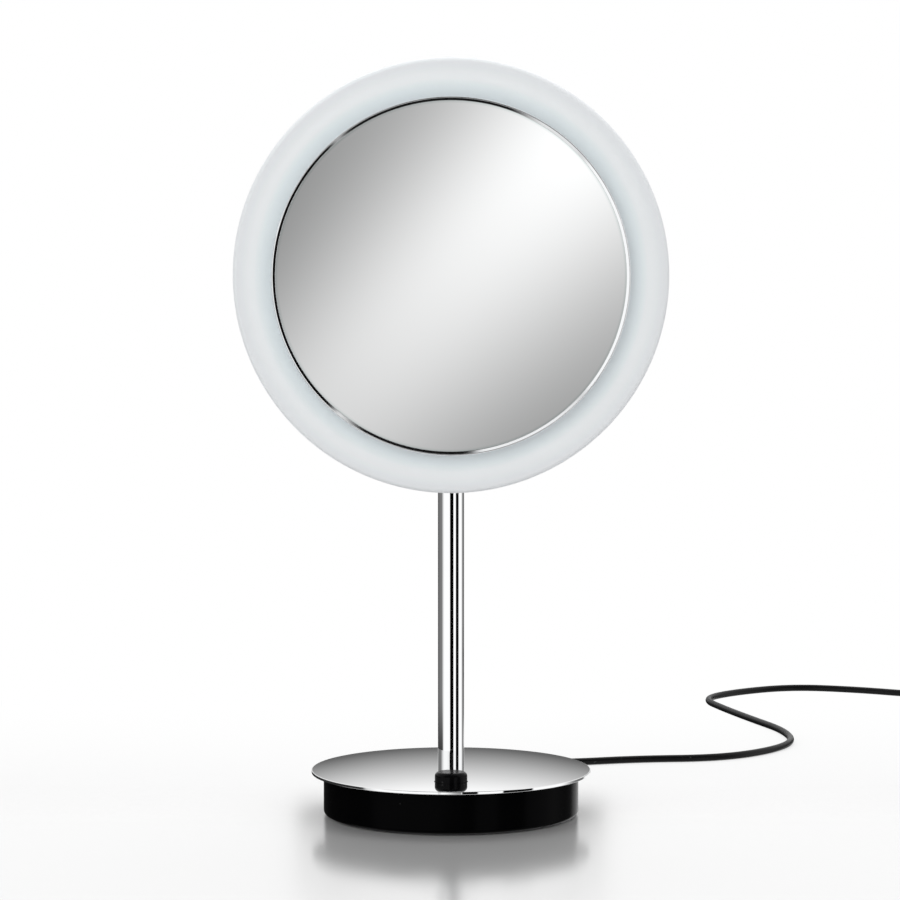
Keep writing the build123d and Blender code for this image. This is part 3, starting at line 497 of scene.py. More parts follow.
def satinAcrylic(slot, facts):
    # lit from its inner edge: a cool tint beside the bezel, deepened there by painted shade from the bezel,
    # clears outward under a frosted grain; the ring's glow is dimmed beside the bezel and at the rim as
    # painted shade
    paint = Paint(
        slot, (0.80, 0.83, 0.84), Subsurface_Weight=0.25, Subsurface_Scale=0.004, Emission_Strength=1.0,
    )
    paint.set("Subsurface Radius", (1.0, 1.0, 1.0))
    out = paint.fromAxis("y", (0, 0, headHeight))
    frost = paint.noise(0.0004, 2.0, 0.6)
    across = paint.step(out, facts["from"], facts["to"], 0.0, 1.0, "LINEAR")
    clouds = paint.noise(0.03, 2.0) * 0.04 - 0.02
    # base colour: cool tint, darkened beside the bezel and at the rim as painted shade
    paint.set("Base Color", paint.node(
        "ShaderNodeValToRGB", {"stops": facts["tone"]}, {"Fac": paint.step(across + clouds, 0.0, 1.0)}))
    # glow: the lit ring, dimmed beside the bezel and at the rim as painted shade
    paint.set("Emission Color", paint.node("ShaderNodeValToRGB", {"stops": facts["glowWithPaintedShade"]}, {"Fac": across}))
    paint.set("Roughness", 0.42 + frost * 0.16)
    paint.bump(frost, 0.00002, 0.35)
    finishes[slot] = paint.material


def circuitBoard(slot):
    paint = Paint(slot, (0.02, 0.16, 0.07), Coat_Roughness=0.15)
    traces = paint.node(
        "ShaderNodeTexBrick", {"offset": 0.5, "squash": 0.7, "squash_frequency": 3},
        {"Vector": paint.spot, "Color1": grey(0), "Color2": grey(0), "Mortar": grey(1), "Scale": 1.0,
         "Mortar Size": 0.00022, "Mortar Smooth": 0.1, "Brick Width": 0.0031, "Row Height": 0.0012},
    )
    pads = paint.step(paint.cells(0.0031), 0.17, 0.13)
    mask = paint.blend(traces, paint.color, (0.05, 0.27, 0.12, 1))
    paint.set("Base Color", paint.blend(pads, mask, (0.75, 0.72, 0.60, 1)))
    paint.set("Metallic", pads)
    paint.set("Coat Weight", 0.6 - pads * 0.5)
    paint.set("Roughness", 0.4 - pads * 0.1 + paint.noise(0.0006) * 0.1)
    paint.bump(pads * 0.6 + traces * 0.4, 0.00005, 0.5)
    finishes[slot] = paint.material


def lampStrip(slot):
    # white film with copper pads between the lamps
    paint = Paint(slot, (0.88, 0.88, 0.84))
    x, y, z = paint.split(paint.spot)
    angle = (z - headHeight).calc("ARCTAN2", x)
    around = paint.step((angle * strip["padsRound"]).calc("SINE"), 0.80, 0.86)
    pads = around * paint.step(((y - strip["middle"]) * strip["padsAcross"]).calc("SINE"), 0.2, 0.4)
    film = paint.blend(paint.noise(0.003), shade(paint.color, 0.93), paint.color)
    paint.set("Base Color", paint.blend(pads, film, strip["copper"]))
    paint.set("Metallic", pads)
    paint.set("Roughness", 0.5 - pads * 0.25)
    finishes[slot] = paint.material


def lampChip(slot):
    # white carrier with a yellow window on the face that looks outward
    paint = Paint(slot, (0.92, 0.92, 0.88), Emission_Strength=1.0)
    y = paint.split(paint.spot)[1]
    out = paint.fromAxis("y", (0, 0, headHeight))
    facing = paint.step(out, chip["face"], chip["faceEnd"])
    window = facing * paint.step((y - strip["middle"]).calc("ABSOLUTE"), chip["half"], chip["halfEnd"])
    grain = paint.noise(0.0003)
    phosphor = paint.blend(grain, (0.93, 0.72, 0.12, 1), (0.98, 0.85, 0.30, 1))
    paint.set("Base Color", paint.blend(window, paint.color, phosphor))
    paint.set("Emission Color", paint.blend(window, grey(0.0), (0.9, 0.85, 0.7, 1)))
    paint.set("Roughness", 0.35 + grain * 0.2)
    finishes[slot] = paint.material


def loopTape(slot):
    # hook-and-loop strap: a woven ground under short loops
    paint = Paint(slot, (0.022, 0.022, 0.025), Sheen_Weight=0.3, Sheen_Roughness=0.5)
    x, y = paint.split(paint.spot)[:2]
    weave = ((x * 5200.0).calc("SINE") * (y * 5200.0).calc("SINE") + 1.0) * 0.5
    loops = paint.noise(0.00035, 4.0, 0.7)
    paint.set("Base Color", paint.blend(loops * weave, shade(paint.color, 0.5), (0.06, 0.06, 0.068, 1)))
    paint.set("Roughness", 0.75 + loops * 0.2)
    paint.bump(weave * 0.4 + loops, 0.0002, 0.8)
    finishes[slot] = paint.material


def cellFoam(slot):
    paint = Paint(slot, (0.055, 0.055, 0.057))
    pores = paint.step(paint.cells(0.0007), 0.5, 0.15)
    paint.set("Base Color", paint.blend(pores, (0.075, 0.075, 0.078, 1), (0.015, 0.015, 0.016, 1)))
    paint.set("Roughness", 0.85 + pores * 0.1)
    paint.bump(1 - pores, 0.0002, 0.7)
    finishes[slot] = paint.material


def blackLacquer(slot):
    # glossy black with a faint ripple and a little dust; it lightens only where it is seen edge-on
    paint = Paint(slot, (0.0015, 0.0015, 0.0017), Specular_IOR_Level=0.015)
    ripple = paint.noise(0.0016, 2.0, 0.4)
    dust = paint.step(paint.cells(0.0034), 0.05, 0.02) * paint.step(paint.noise(0.012, 1.0), 0.58, 0.64)
    paint.set("Base Color", paint.blend(dust, paint.color, grey(0.16)))
    paint.set("Roughness", 0.13 + ripple * 0.07 + dust * 0.4)
    paint.bump(ripple, 0.000015, 0.25)
    finishes[slot] = paint.material


polished("bezel_chrome", (0.86, 0.87, 0.88), 0.03, 0.03, 0.0)
polished("cover_chrome", (0.84, 0.85, 0.86), 0.05, 0.07)
polished("plate_chrome", (0.90, 0.905, 0.91), 0.012, 0.03, 0.06)
polished("post_chrome", (0.90, 0.905, 0.91), 0.015, 0.02, 0.06)
polished("neck_chrome", (0.83, 0.84, 0.85), 0.05, 0.05)
polished("screw_chrome", (0.80, 0.81, 0.82), 0.08, 0.05)
polished("pin_nickel", (0.76, 0.74, 0.69), 0.12, 0.08)
worked("spring_steel", (0.60, 0.60, 0.61), 0.30, 0.0003, (1, 1, 6), 0.00001)
worked("cast_aluminium", (0.70, 0.71, 0.72), 0.48, 0.0009, (1, 1, 1), 0.00006, 0.12)
worked("spun_aluminium", (0.76, 0.77, 0.78), 0.34, 0.0008, (1, 0.05, 1), 0.00001)
worked("satin_steel", (0.64, 0.65, 0.66), 0.32, 0.0005, (0.1, 1, 1), 0.00001)
worked("zinc_steel", (0.70, 0.71, 0.73), 0.30, 0.0016, (1, 1, 1), 0.00001, 0.08)
worked("screw_steel", (0.68, 0.69, 0.70), 0.30, 0.0005, (1, 1, 1), 0.00001, 0.08)
worked("screw_black", (0.035, 0.035, 0.038), 0.42, 0.0005, (1, 1, 1), 0.00001, 0.08)
worked("bush_brass", (0.72, 0.56, 0.28), 0.28, 0.0006, (0.3, 0.3, 4), 0.00001)
worked("ballast_iron", (0.11, 0.11, 0.115), 0.55, 0.0014, (1, 1, 1), 0.00012, 0.15, 0.8, 0.3)
moulded("black_moulding", (0.022, 0.022, 0.023), 0.52, 0.0007, 0.00004, lint=0.3)
moulded("foot_rubber", (0.020, 0.020, 0.020), 0.72, 0.0005, 0.00005, lint=0.5)
moulded("relief_rubber", (0.016, 0.016, 0.017), 0.48, 0.0006, 0.00003, lint=0.3)
moulded("cord_black", (0.003, 0.003, 0.0034), 0.36, 0.0009, 0.00002, specular=0.2, lint=0.15)
moulded("button_black", (0.003, 0.003, 0.0033), 0.16, 0.0012, 0.000004, specular=0.06, lint=0.1)
moulded("switch_black", (0.035, 0.035, 0.036), 0.45, 0.0005, 0.00002)
moulded("component_black", (0.030, 0.030, 0.032), 0.40, 0.0005, 0.00002, 0.3)
moulded("nylon_white", (0.78, 0.78, 0.74), 0.38, 0.0008, 0.00002, 0.05)
moulded("lead_white", (0.76, 0.76, 0.75), 0.42, 0.0008, 0.00002, 0.05)
moulded("supply_black", (0.018, 0.018, 0.019), 0.55, 0.0006, 0.00006, lint=0.25)
moulded("sleeve_black", (0.022, 0.022, 0.022), 0.35, 0.0008, 0.00001)
silveredGlass("silvered_glass")
satinAcrylic("satin_acrylic", acrylic)
blackLacquer("black_lacquer")
circuitBoard("board_green")
lampStrip("strip_white")
lampChip("lamp_chip")
loopTape("tie_black")
cellFoam("seal_foam")

slotOf = {row["node"]: row["material_slot"] for row in frame["record"]["subparts"]}
for name, piece in nodes.items():
    for place in piece.material_slots:
        place.material = finishes[slotOf[name]]
powerLead.data.materials.append(finishes["cord_black"])
print("finishes made:", len(finishes))


# Mirror: a concave glass; its face, rim and silvered back
glass = {"curve": 0.85, "thickness": 0.003, "rimFront": -0.0437}


def makeGlass(facts):
    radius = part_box("mirror_glass")[1].x
    centre = facts["rimFront"] - sqrt(facts["curve"] ** 2 - radius ** 2)
    behind = facts["curve"] + facts["thickness"]
    maker = MeshMaker()
    front = dish(centre, facts["curve"], 0.0, radius, True)
    back = dish(centre, behind, radius, 0.0, False)
    out = Vector((1, 0))
    lathe(maker, front + [(front[-1][1], back[0][0], out, out)] + back, alongHead)
    maker.piece("mirrorGlass", "head", ["mirror_glass"], "silvered_glass", finishes["silvered_glass"])


# Bezel: a polished lip that slopes a little towards the glass, with a rounded outer corner
bezel = {
    "lip": 85.0, "outside": 87.0, "wall": 0.8, "rounding": 0.6, "innerRounding": 0.2, "edge": 0.1,
    "tilt": 0.28,
}


def makeBezel(facts):
    low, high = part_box("mirror_bezel")
    front, back = low.y / mm, high.y / mm
    lip, outside, edge = facts["lip"], facts["outside"], facts["edge"]
    inside, behindLip = outside - facts["wall"], front + facts["wall"]
    corners = [
        (lip, front + facts["tilt"], facts["innerRounding"]), (outside, front, facts["rounding"]),
        (outside, back, edge), (inside, back, edge), (inside, behindLip), (lip, behindLip, edge),
    ]
    maker = MeshMaker()
    lathe(maker, outline(corners), alongHead, 256)
    maker.piece("mirrorBezel", "head", ["mirror_bezel"], "bezel_chrome", finishes["bezel_chrome"])


# Light ring: flat satin acrylic with a full rounded rim
ring = {"opening": 75.0, "rounding": 2.2, "chamfer": 0.5}


def makeRing(facts):
    outside = ringHigh.x / mm
    front, back = ringLow.y / mm, ringHigh.y / mm
    inner, cut = facts["opening"], facts["chamfer"]
    corners = [
        (inner + cut, front), (outside, front, facts["rounding"]), (outside, back, facts["rounding"]),
        (inner + cut, back), (inner, back - cut), (inner, front + cut),
    ]
    maker = MeshMaker()
    lathe(maker, outline(corners, step=0.12), alongHead, 256)
    maker.piece("lightRing", "head", ["light_ring"], "satin_acrylic", finishes["satin_acrylic"])


# Rear cover: a spun dish with a flat middle, a hole for the knuckle and three sunk screw holes
cover = {
    "hole": 8.5, "flat": 45.0, "shoulder": 9.5, "wall": 1.2, "slopeRounding": 14.0, "rimRounding": 2.4,
    "flatJoin": 42.0, "screwCircle": 38.0, "screwHead": 2.9, "screwInside": 1.86,
    "screwAngles": (90, 210, 330),
}


def makeCover(facts):
    low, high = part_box("rear_cover")
    outside, front, back = high.x / mm, low.y / mm, high.y / mm
    wall, join, inside = facts["wall"], facts["flatJoin"], back - facts["wall"]
    slope = atan2(facts["shoulder"], outside - facts["flat"])
    shoulder = back - facts["shoulder"]
    innerShoulder = shoulder - wall / cos(slope) + wall * tan(slope)
    outer = outline([
        (outside, front), (outside, shoulder, facts["rimRounding"]),
        (facts["flat"], back, facts["slopeRounding"]), (join, back),
    ], closed=False, step=0.05)
    inner = outline([
        (join, inside), (facts["flat"] - wall * tan(slope / 2), inside, facts["slopeRounding"] - wall),
        (outside - wall, innerShoulder, facts["rimRounding"] - wall), (outside - wall, front),
        (outside, front),
    ], closed=False, step=0.05)
    maker = MeshMaker()
    lathe(maker, outer + inner, alongHead)
    around = [radians(angle) for angle in facts["screwAngles"]]
    spots = [(facts["screwCircle"] * mm * cos(a), facts["screwCircle"] * mm * sin(a)) for a in around]
    middle = (0.0, 0.0, facts["hole"] * mm)
    for height, radius in ((back, facts["screwHead"]), (inside, facts["screwInside"])):
        holes = [middle] + [(*spot, radius * mm) for spot in spots]
        sheet(maker, join * mm, holes, height * mm, height == back, alongHead)
    hole(maker, 0, 0, outline([(facts["hole"], back), (facts["hole"], inside)], False), alongHead)
    sunk = outline([(facts["screwHead"], back), (facts["screwInside"], inside)], False)
    for x, y in spots:
        hole(maker, x, y, sunk, alongHead)
    maker.piece("rearCover", "head", ["rear_cover"], "cover_chrome", finishes["cover_chrome"])


# Post: a polished tube on the plate
post = {"wall": 1.0, "edge": 0.25}


def makePost(facts):
    low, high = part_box("post_tube")
    outside, bottom, top = high.x / mm, low.z / mm, high.z / mm
    inside = outside - facts["wall"]
    corners = [(inside, bottom), (outside, bottom), (outside, top, facts["edge"]), (inside, top)]
    maker = MeshMaker()
    lathe(maker, outline(corners), upright)
    maker.piece("postTube", "base", ["post_tube"], "post_chrome", finishes["post_chrome"])


# Plate: a thin polished disc with holes for the stud and the button
plate = {"edge": 0.3, "join": 60.0, "studHole": 5.1, "buttonHole": 8.3}


def makePlate(facts):
    low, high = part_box("base_plate")
    buttonLow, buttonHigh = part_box("push_button")
    outside, bottom, top = high.x / mm, low.z / mm, high.z / mm
    join = facts["join"]
    buttonY = (buttonLow.y + buttonHigh.y) / 2
    holes = [(0.0, 0.0, facts["studHole"] * mm), (0.0, buttonY, facts["buttonHole"] * mm)]
    rim = outline([
        (join, bottom), (outside, bottom, facts["edge"]), (outside, top, facts["edge"]), (join, top),
    ], closed=False)
    maker = MeshMaker()
    lathe(maker, rim, upright, 256)
    sheet(maker, join * mm, holes, top * mm, True, upright, 256)
    sheet(maker, join * mm, holes, bottom * mm, False, upright, 256)
    for x, y, radius in holes:
        hole(maker, x, y, outline([(radius / mm, top), (radius / mm, bottom)], False), upright)
    maker.piece("basePlate", "base", ["base_plate"], "plate_chrome", finishes["plate_chrome"])


# Push button: a cap with a rounded top, a flange below the plate and a stem
button = {"cap": 8.0, "edge": 2.2, "flangeHeight": 1.7, "stem": 2.0, "stemLength": 0.6, "small": 0.2}


def makeButton(facts):
    low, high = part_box("push_button")
    y = (low.y + high.y) / 2
    flange, bottom, top = high.x / mm, low.z / mm, high.z / mm
    under = bottom + facts["stemLength"]
    small = facts["small"]
    corners = [
        (0, bottom), (facts["stem"], bottom, small), (facts["stem"], under), (flange, under, small),
        (flange, under + facts["flangeHeight"], small), (facts["cap"], under + facts["flangeHeight"]),
        (facts["cap"], top, facts["edge"]), (0, top),
    ]
    maker = MeshMaker()
    lathe(maker, outline(corners, False, 0.1), Matrix.Translation((0, y, 0)))
    maker.piece("pushButton", "button", ["push_button"], "button_black", finishes["button_black"])


# Strain reliefs: tapered rubber sleeves with rings cut into them
relief = {
    "bore": 1.9, "inner": 5.3, "groove": 3.9, "collar": 5.1, "ends": (60.5, 63.6, 65.8, 66.4), "edge": 0.3,
    "rings": {"root": 4.5, "tip": 2.8, "first": 1.6},
}
supplyRelief = {"length": 18.0, "edge": 0.3, "rings": {"root": 4.2, "tip": 2.8, "first": 1.4}}
cut = {"pitch": 2.6, "width": 1.1, "depth": 0.8, "rounding": 0.2, "core": 2.2}


def cutRings(facts, start, end):
    # corners of the rings between two places along the sleeve, from its first to its last
    def radiusAt(place):
        return facts["root"] + (facts["tip"] - facts["root"]) * abs(place - start) / abs(end - start)
    way = 1 if end > start else -1
    count = int((abs(end - start) - facts["first"]) / cut["pitch"])
    corners = []
    for k in range(count):
        near = start + way * (facts["first"] + cut["pitch"] * k)
        far = near + way * cut["width"]
        depth = min(cut["depth"], radiusAt(far) - cut["core"])
        corners += [
            (radiusAt(near), near, cut["rounding"]), (radiusAt(near) - depth, near, cut["rounding"]),
            (radiusAt(far) - depth, far, cut["rounding"]), (radiusAt(far), far, cut["rounding"]),
        ]
    return corners if way > 0 else corners[::-1]


def makeRelief(facts):
    low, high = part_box("strain_relief")
    height = (low.z + high.z) / 2
    place = Matrix.Translation((0, 0, height - headHeight)) @ alongHead
    first, last = low.y / mm, high.y / mm
    gap, wallOut, collarEnd, slopeEnd = facts["ends"]
    rings, edge = facts["rings"], facts["edge"]
    corners = [
        (facts["bore"], first), (facts["inner"], first, edge), (facts["inner"], gap, edge),
        (facts["groove"], gap), (facts["groove"], wallOut),
        (facts["collar"], wallOut, edge), (facts["collar"], collarEnd, edge), (rings["root"], slopeEnd),
        *cutRings(rings, slopeEnd, last), (rings["tip"], last, edge), (facts["bore"], last),
    ]
    maker = MeshMaker()
    lathe(maker, outline(corners), place, 96)
    return maker.piece("strainRelief", "base", ["strain_relief"], "relief_rubber", finishes["relief_rubber"])


def makeSupplyRelief(facts, leadFacts):
    turn = radians(leadFacts["supplyTurn"])
    ahead, aside = cos(turn), sin(turn)
    x, y, z = [c * mm for c in leadFacts["supplyTip"]]
    place = Matrix(((-aside, 0, ahead, x), (ahead, 0, aside, y), (0, 1, 0, z), (0, 0, 0, 1)))
    rings, length = facts["rings"], facts["length"]
    corners = [
        (0, 0), (rings["tip"], 0, facts["edge"]), *cutRings(rings, length, 0),
        (rings["root"], length), (0, length),
    ]
    maker = MeshMaker()
    lathe(maker, outline(corners, False), place, 96)
    return maker.piece("supplyRelief", "base", ["supply_relief"], "relief_rubber", finishes["relief_rubber"])


# Coil ties: straps wrapped round the coil, each with its end pressed down over the top
tie = {
    "angles": (20, 190), "thickness": 0.7, "width": 5.0, "inner": 14.4, "outer": 29.6,
    "low": 0.7, "high": 11.1, "shoulder": 4.5, "topInner": 18.2, "topOuter": 25.8, "rounding": 1.6,
    "narrower": 0.6, "endShort": 1.0,
    "tabTop": {"in": 1.0, "foot": 9.35, "crown": 0.4, "lift": 0.75, "rounding": 2.2},
    "tabUnder": {"in": 1.2, "foot": 8.5, "crown": 0.2, "lift": 0.02, "rounding": 1.6},
}


def strap(maker, outer, inner, width, place):
    # band between two outlines that have the same number of edges
    turnOnly = place.to_3x3()
    half = width / 2 * mm

    def at(spot, side):
        return place @ Vector((spot.x, spot.y, side * half))

    def facing(normal):
        return turnOnly @ Vector((normal.x, normal.y, 0))
    for (a, b, normalA, normalB), (c, d, normalC, normalD) in zip(outer, inner):
        outA, outB = facing(normalA), facing(normalB)
        inC, inD = -facing(normalC), -facing(normalD)
        maker.face([at(a, 1), at(a, -1), at(b, -1), at(b, 1)], [outA, outA, outB, outB])
        maker.face([at(c, -1), at(c, 1), at(d, 1), at(d, -1)], [inC, inC, inD, inD])
        for side in (1, -1):
            points = [at(a, side), at(b, side), at(d, side), at(c, side)]
            normal = turnOnly @ Vector((0, 0, side))
            maker.face(points if side > 0 else points[::-1], [normal] * 4)


def tieOutline(facts, grow):
    rounding = facts["rounding"] + grow
    corners = [
        (facts["inner"] - grow, facts["low"] - grow), (facts["outer"] + grow, facts["low"] - grow),
        (facts["outer"] + grow, facts["shoulder"]), (facts["topOuter"] + grow, facts["high"] + grow),
        (facts["topInner"] - grow, facts["high"] + grow), (facts["inner"] - grow, facts["shoulder"]),
    ]
    return outline([(*corner, rounding) for corner in corners])


def tabOutline(facts, face):
    # one face of the strap's end, from the coil's shoulder over its top
    top = facts["high"] + facts["thickness"] + face["lift"]
    return outline([
        (facts["outer"] - face["in"], face["foot"]),
        (facts["topOuter"] + face["crown"], top, face["rounding"]),
        (facts["topInner"] + facts["endShort"], top),
    ], False)


def makeTies(facts, leadFacts):
    centreX, centreY = [c * mm for c in leadFacts["coilCentre"]]
    maker = MeshMaker()
    for angle in facts["angles"]:
        c, s = cos(radians(angle)), sin(radians(angle))
        place = Matrix(((c, 0, s, centreX), (s, 0, -c, centreY), (0, 1, 0, 0), (0, 0, 0, 1)))
        strap(maker, tieOutline(facts, facts["thickness"]), tieOutline(facts, 0.0), facts["width"], place)
        over, under = tabOutline(facts, facts["tabTop"]), tabOutline(facts, facts["tabUnder"])
        strap(maker, over, under, facts["width"] - facts["narrower"], place)
    return maker.piece("coilTies", "base", ["coil_ties"], "tie_black", finishes["tie_black"])


makeGlass(glass)
makeBezel(bezel)
makeRing(ring)
makeCover(cover)
makePost(post)
makePlate(plate)
makeButton(button)
sleeves = [makeRelief(relief), makeSupplyRelief(supplyRelief, lead)]
coilTies = makeTies(tie, lead)
print("turned pieces made")


sharpFrom = 33


def smoothFacets(piece):
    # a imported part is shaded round, and its edges sharper than a set angle stay sharp
    if "custom_normal" in piece.data.attributes:
        piece.data.attributes.remove(piece.data.attributes["custom_normal"])
    piece.data.shade_smooth()
    weld = piece.modifiers.new("weld", "WELD")
    weld.merge_threshold = 1e-6
    split = piece.modifiers.new("edges", "EDGE_SPLIT")
    split.split_angle = radians(sharpFrom)


for piece in nodes.values():
    smoothFacets(piece)
print("facets smoothed")


# Studio: a pale floor that turns into painted white glow from the base backwards, soft light, and a room
# that polished parts mirror
floor = {
    "radius": 14.0, "nearTone": 0.88, "gloss": 0.70, "rough": 0.16,
    # where the floor's painted white glow begins and is complete, then where its gloss fades out, and its
    # number of sides
    "paintedLightFrom": -0.06, "paintedLightTo": 0.38, "mattFrom": -0.03, "mattTo": 0.10, "steps": 64,
}


def stageSheet(name, corners, material):
    mesh = bpy.data.meshes.new(name)
    mesh.from_pydata(corners, [], [tuple(range(len(corners)))])
    mesh.materials.append(material)
    made = bpy.data.objects.new(name, mesh)
    scene.collection.objects.link(made)
    return made


def makeFloor(facts):
    paint = Paint("studioFloor", (facts["nearTone"],) * 3)
    y = paint.split(paint.spot)[1]
    grain = paint.noise(0.12, 2.0)
    tone = paint.blend(grain, shade(paint.color, 0.985), paint.color)
    matt = paint.node("ShaderNodeBsdfDiffuse", {}, {"Color": tone})
    rough = facts["rough"] + grain * 0.02
    gloss = paint.node("ShaderNodeBsdfGlossy", {}, {"Color": grey(0.96), "Roughness": rough})
    share = paint.step(y, facts["mattFrom"], facts["mattTo"], facts["gloss"], 0.0)
    surface = paint.node("ShaderNodeMixShader", {}, {0: share, 1: matt, 2: gloss})
    white = paint.node("ShaderNodeEmission", {}, {"Color": grey(1.0), "Strength": 1.0})
    # painted light: from just in front of the base backwards the floor is blended into white glow, so it
    # brightens towards the back and shows no shadows there
    paintedLightBehind = paint.step(y, facts["paintedLightFrom"], facts["paintedLightTo"])
    final = paint.node("ShaderNodeMixShader", {}, {0: paintedLightBehind, 1: surface, 2: white})
    paint.links.new(final.output, paint.nodes["Material Output"].inputs["Surface"])
    turns = [2 * pi * k / facts["steps"] for k in range(facts["steps"])]
    rim = [(facts["radius"] * cos(turn), facts["radius"] * sin(turn), 0) for turn in turns]
    stageSheet("studioFloor", rim, paint.material).visible_glossy = False


def onlyMirrored(card):
    # a card that only polished surfaces see: a painted reflection that lights nothing and casts no shadow
    card.visible_camera = False
    card.visible_diffuse = False
    card.visible_shadow = False
    card.visible_transmission = False


def glowing(name, level=0.0):
    paint = Paint(name, (0, 0, 0))
    light = paint.node("ShaderNodeEmission", {}, {"Color": grey(1.0), "Strength": level})
    paint.links.new(light.output, paint.nodes["Material Output"].inputs["Surface"])
    return paint, light


# painted reflections: a dark flag in front of the post paints the post's dark stripe, and a graded card
# behind the plate paints the plate's graded reflection
flag = {"y": -0.23, "left": -0.032, "right": 0.075, "low": -0.002, "high": 0.155}
backCard = {
    "y": 1.0, "half": 0.112, "low": 0.10, "high": 0.215, "dark": 0.14, "gradeFrom": 0.1695, "gradeTo": 0.2,
    "sag": 1.134,
}


def standing(left, right, facts):
    # corners of an upright card
    y, low, high = facts["y"], facts["low"], facts["high"]
    return [(left, y, low), (right, y, low), (right, y, high), (left, y, high)]


def makeCards(dark, back):
    black = glowing("flagPaintedReflectionBlack")[0].material
    # painted reflection: a black card that only the post and other polished parts see, for the post's dark
    # stripe
    onlyMirrored(stageSheet("postPaintedReflectionFlag", standing(dark["left"], dark["right"], dark), black))
    # painted reflection: the card's glow rises from dark to white over a bowed band, so the plate shows that
    # grade
    paint, light = glowing("gradedPaintedReflectionCard")
    x, y, z = paint.split(paint.spot)
    across = z - x * x * back["sag"]
    level = paint.step(across, back["gradeFrom"], back["gradeTo"], back["dark"], 1.0, "LINEAR")
    paint.feed(light.output.node.inputs["Strength"], level)
    onlyMirrored(stageSheet("platePaintedReflectionCard", standing(-back["half"], back["half"], back), paint.material))


# Room: patches of brightness by direction, in degrees round from the front and up from level;
# each is from and its softness, to and its softness, the same for low and high, and its level;
# later ones lie over earlier ones
room = {
    "base": 0.20,
    "patches": [
        (-200, 1, 200, 1, 9, 4, 100, 4, 0.95),
        (-200, 1, -158, 6, 0.8, 1, 100, 4, 1.0),
        (158, 6, 200, 1, 0.8, 1, 100, 4, 1.0),
        (-60, 12, 60, 12, 12, 3, 100, 3, 0.02),
        (-76, 36, -10, 2, -30, 3, 11, 3, 1.1),
        (-160, 4, -92, 30, -14, 3, 11, 3, 0.20),
        (-200, 1, -128, 24, -14, 3, 0, 1, 0.11),
        (-200, 1, -76, 6, -35, 2, -8.7, 1, 0.03),
        (-10, 1, 10, 1, -30, 3, 12, 2, 0.9),
        (-6, 3, 22, 2, -36, 5, -13.2, 1.5, 0.01),
        (-2, 2, 22, 2, 8.4, 1.5, 100, 4, 0.01),
        (-30, 4, -2.2, 1.2, 8, 2, 15.5, 1.5, 1.0),
        (9, 1, 22, 2, -20, 3, 12, 3, 0.005),
        (22, 2, 43.5, 2, -35, 3, 12, 3, 1.1),
        (43.5, 2, 71, 3, -35, 3, 12, 3, 0.005),
        (71, 3, 118, 34, -35, 3, 11, 3, 1.1),
        (118, 34, 160, 4, -35, 3, 11, 3, 0.17),
        (160, 4, 200, 1, -35, 3, 0, 1, 0.2),
        (143, 8, 172, 8, -35, 3, -8.7, 1, 1.0),
        (-22, 6, -4, 4, -36, 5, -21, 3, 0.05),
        (-200, 1, 200, 1, -95, 3, -40, 8, 0.65),
    ],
    "ambient": 0.70,
}
# what the mirror shows: a bright soft band that slants across it
band = {
    "tilt": 0.047, "reach": 0.2237, "dark": 0.27, "lift": 0.593, "low": 0.66, "high": 0.80, "glass": 0.93,
    "middle": -2.6, "zone": 10.4, "edge": 0.8, "turnOver": 0.1, "bow": 0.03, "shift": 0.02, "gain": 0.15,
    "grade": 0.08,
}


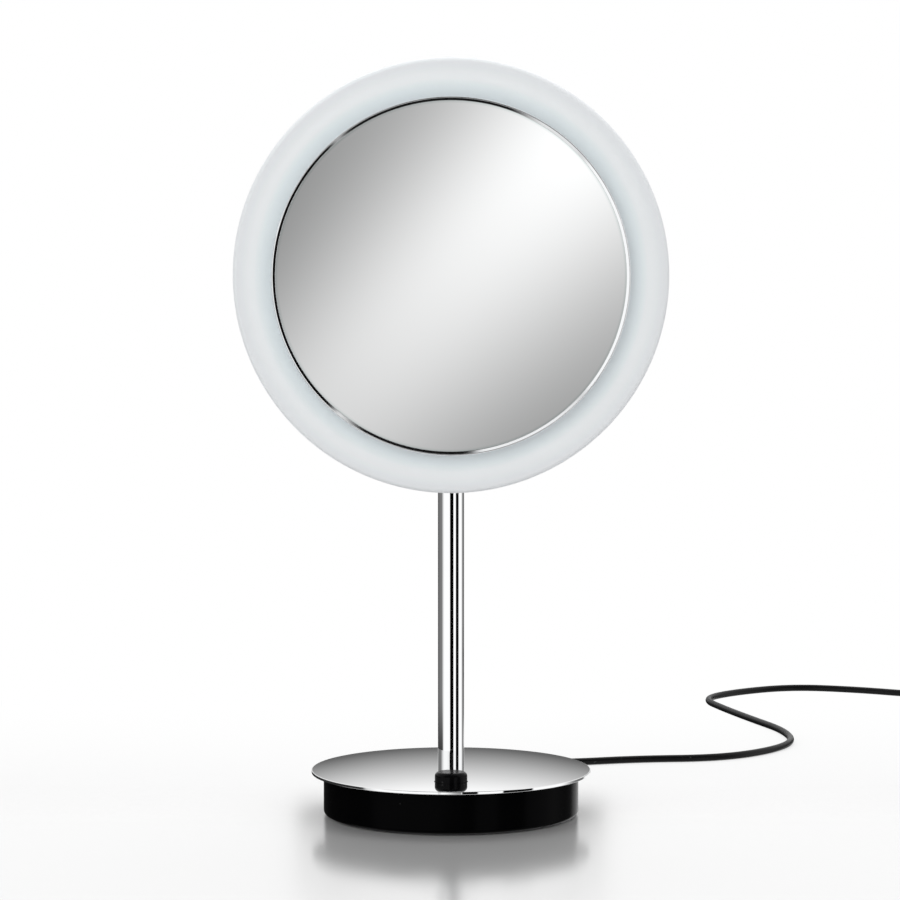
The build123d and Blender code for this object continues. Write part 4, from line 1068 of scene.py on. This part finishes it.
def makeRoom(facts, soft):
    world = bpy.data.worlds.new("studioRoom")
    world.use_nodes = True
    scene.world = world
    tree = Tree(world.node_tree)
    direction = tree.node("ShaderNodeTexCoord", {}, {}, "Generated")
    x, y, z = tree.split(direction)
    turned = x.calc("ARCTAN2", -y) * (180 / pi)
    up = z.calc("ARCSINE") * (180 / pi)

    def window(signal, low, lowSoft, high, highSoft):
        inside = tree.step(signal, low - lowSoft / 2, low + lowSoft / 2)
        return inside * tree.step(signal, high - highSoft / 2, high + highSoft / 2, 1.0, 0.0)

    level = None
    for start, startSoft, end, endSoft, low, lowSoft, high, highSoft, tone in facts["patches"]:
        mask = window(up, low, lowSoft, high, highSoft)
        if end - start < 360:
            mask = mask * window(turned, start, startSoft, end, endSoft)
        before = facts["base"] if level is None else level
        level = (tone - before) * mask + before
    across = x / (0.0 - y)
    rise = z / (0.0 - y) + soft["tilt"]
    slant = (rise - across) / soft["reach"]
    along = (rise + across) * (-1 / soft["reach"])
    width = tree.step(slant, -soft["turnOver"], soft["turnOver"], soft["low"], soft["high"])
    crest = (slant + along * soft["bow"] + soft["shift"]) / width
    bright = (-(crest * crest)).calc("EXPONENT") * (along * soft["gain"] + 1.0) * soft["lift"]
    shown = (bright + along * soft["grade"] + soft["dark"]) / soft["glass"]
    above = up - soft["middle"]
    away = (turned * turned + above * above) ** 0.5
    zone = tree.step(away, soft["zone"], soft["zone"] + soft["edge"], 1.0, 0.0)
    level = (shown - level) * zone + level
    path = tree.node("ShaderNodeLightPath")
    isCamera = Signal(tree, path.output.node.outputs["Is Camera Ray"])
    isDiffuse = Signal(tree, path.output.node.outputs["Is Diffuse Ray"])
    level = (facts["ambient"] - level) * isDiffuse + level
    level = (1.0 - level) * isCamera + level
    backdrop = tree.nodes["Background"]
    tree.feed(backdrop.inputs["Strength"], level)
    backdrop.inputs["Color"].default_value = grey(1.0)


# Lights: a soft box overhead and a little behind, and a larger one in front
lamps = [
    {"name": "overhead", "place": (0.10, 0.45, 1.5), "aim": (0, 0, 0.1), "size": 1.3, "watts": 9.0},
    {"name": "frontFill", "place": (-0.9, -1.9, 1.3), "aim": (0, 0, 0.2), "size": 1.6, "watts": 9.0},
]


def makeLamp(facts):
    light = bpy.data.lights.new(facts["name"], "AREA")
    light.shape = "DISK"
    light.size = facts["size"]
    light.energy = facts["watts"]
    lamp = bpy.data.objects.new(facts["name"], light)
    lamp.location = facts["place"]
    lamp.rotation_euler = (Vector(facts["aim"]) - lamp.location).to_track_quat("-Z", "Y").to_euler()
    lamp.visible_glossy = False
    scene.collection.objects.link(lamp)


makeFloor(floor)
makeCards(flag, backCard)
makeRoom(room, band)
for facts in lamps:
    makeLamp(facts)
print("studio set")

bpy.context.view_layer.update()
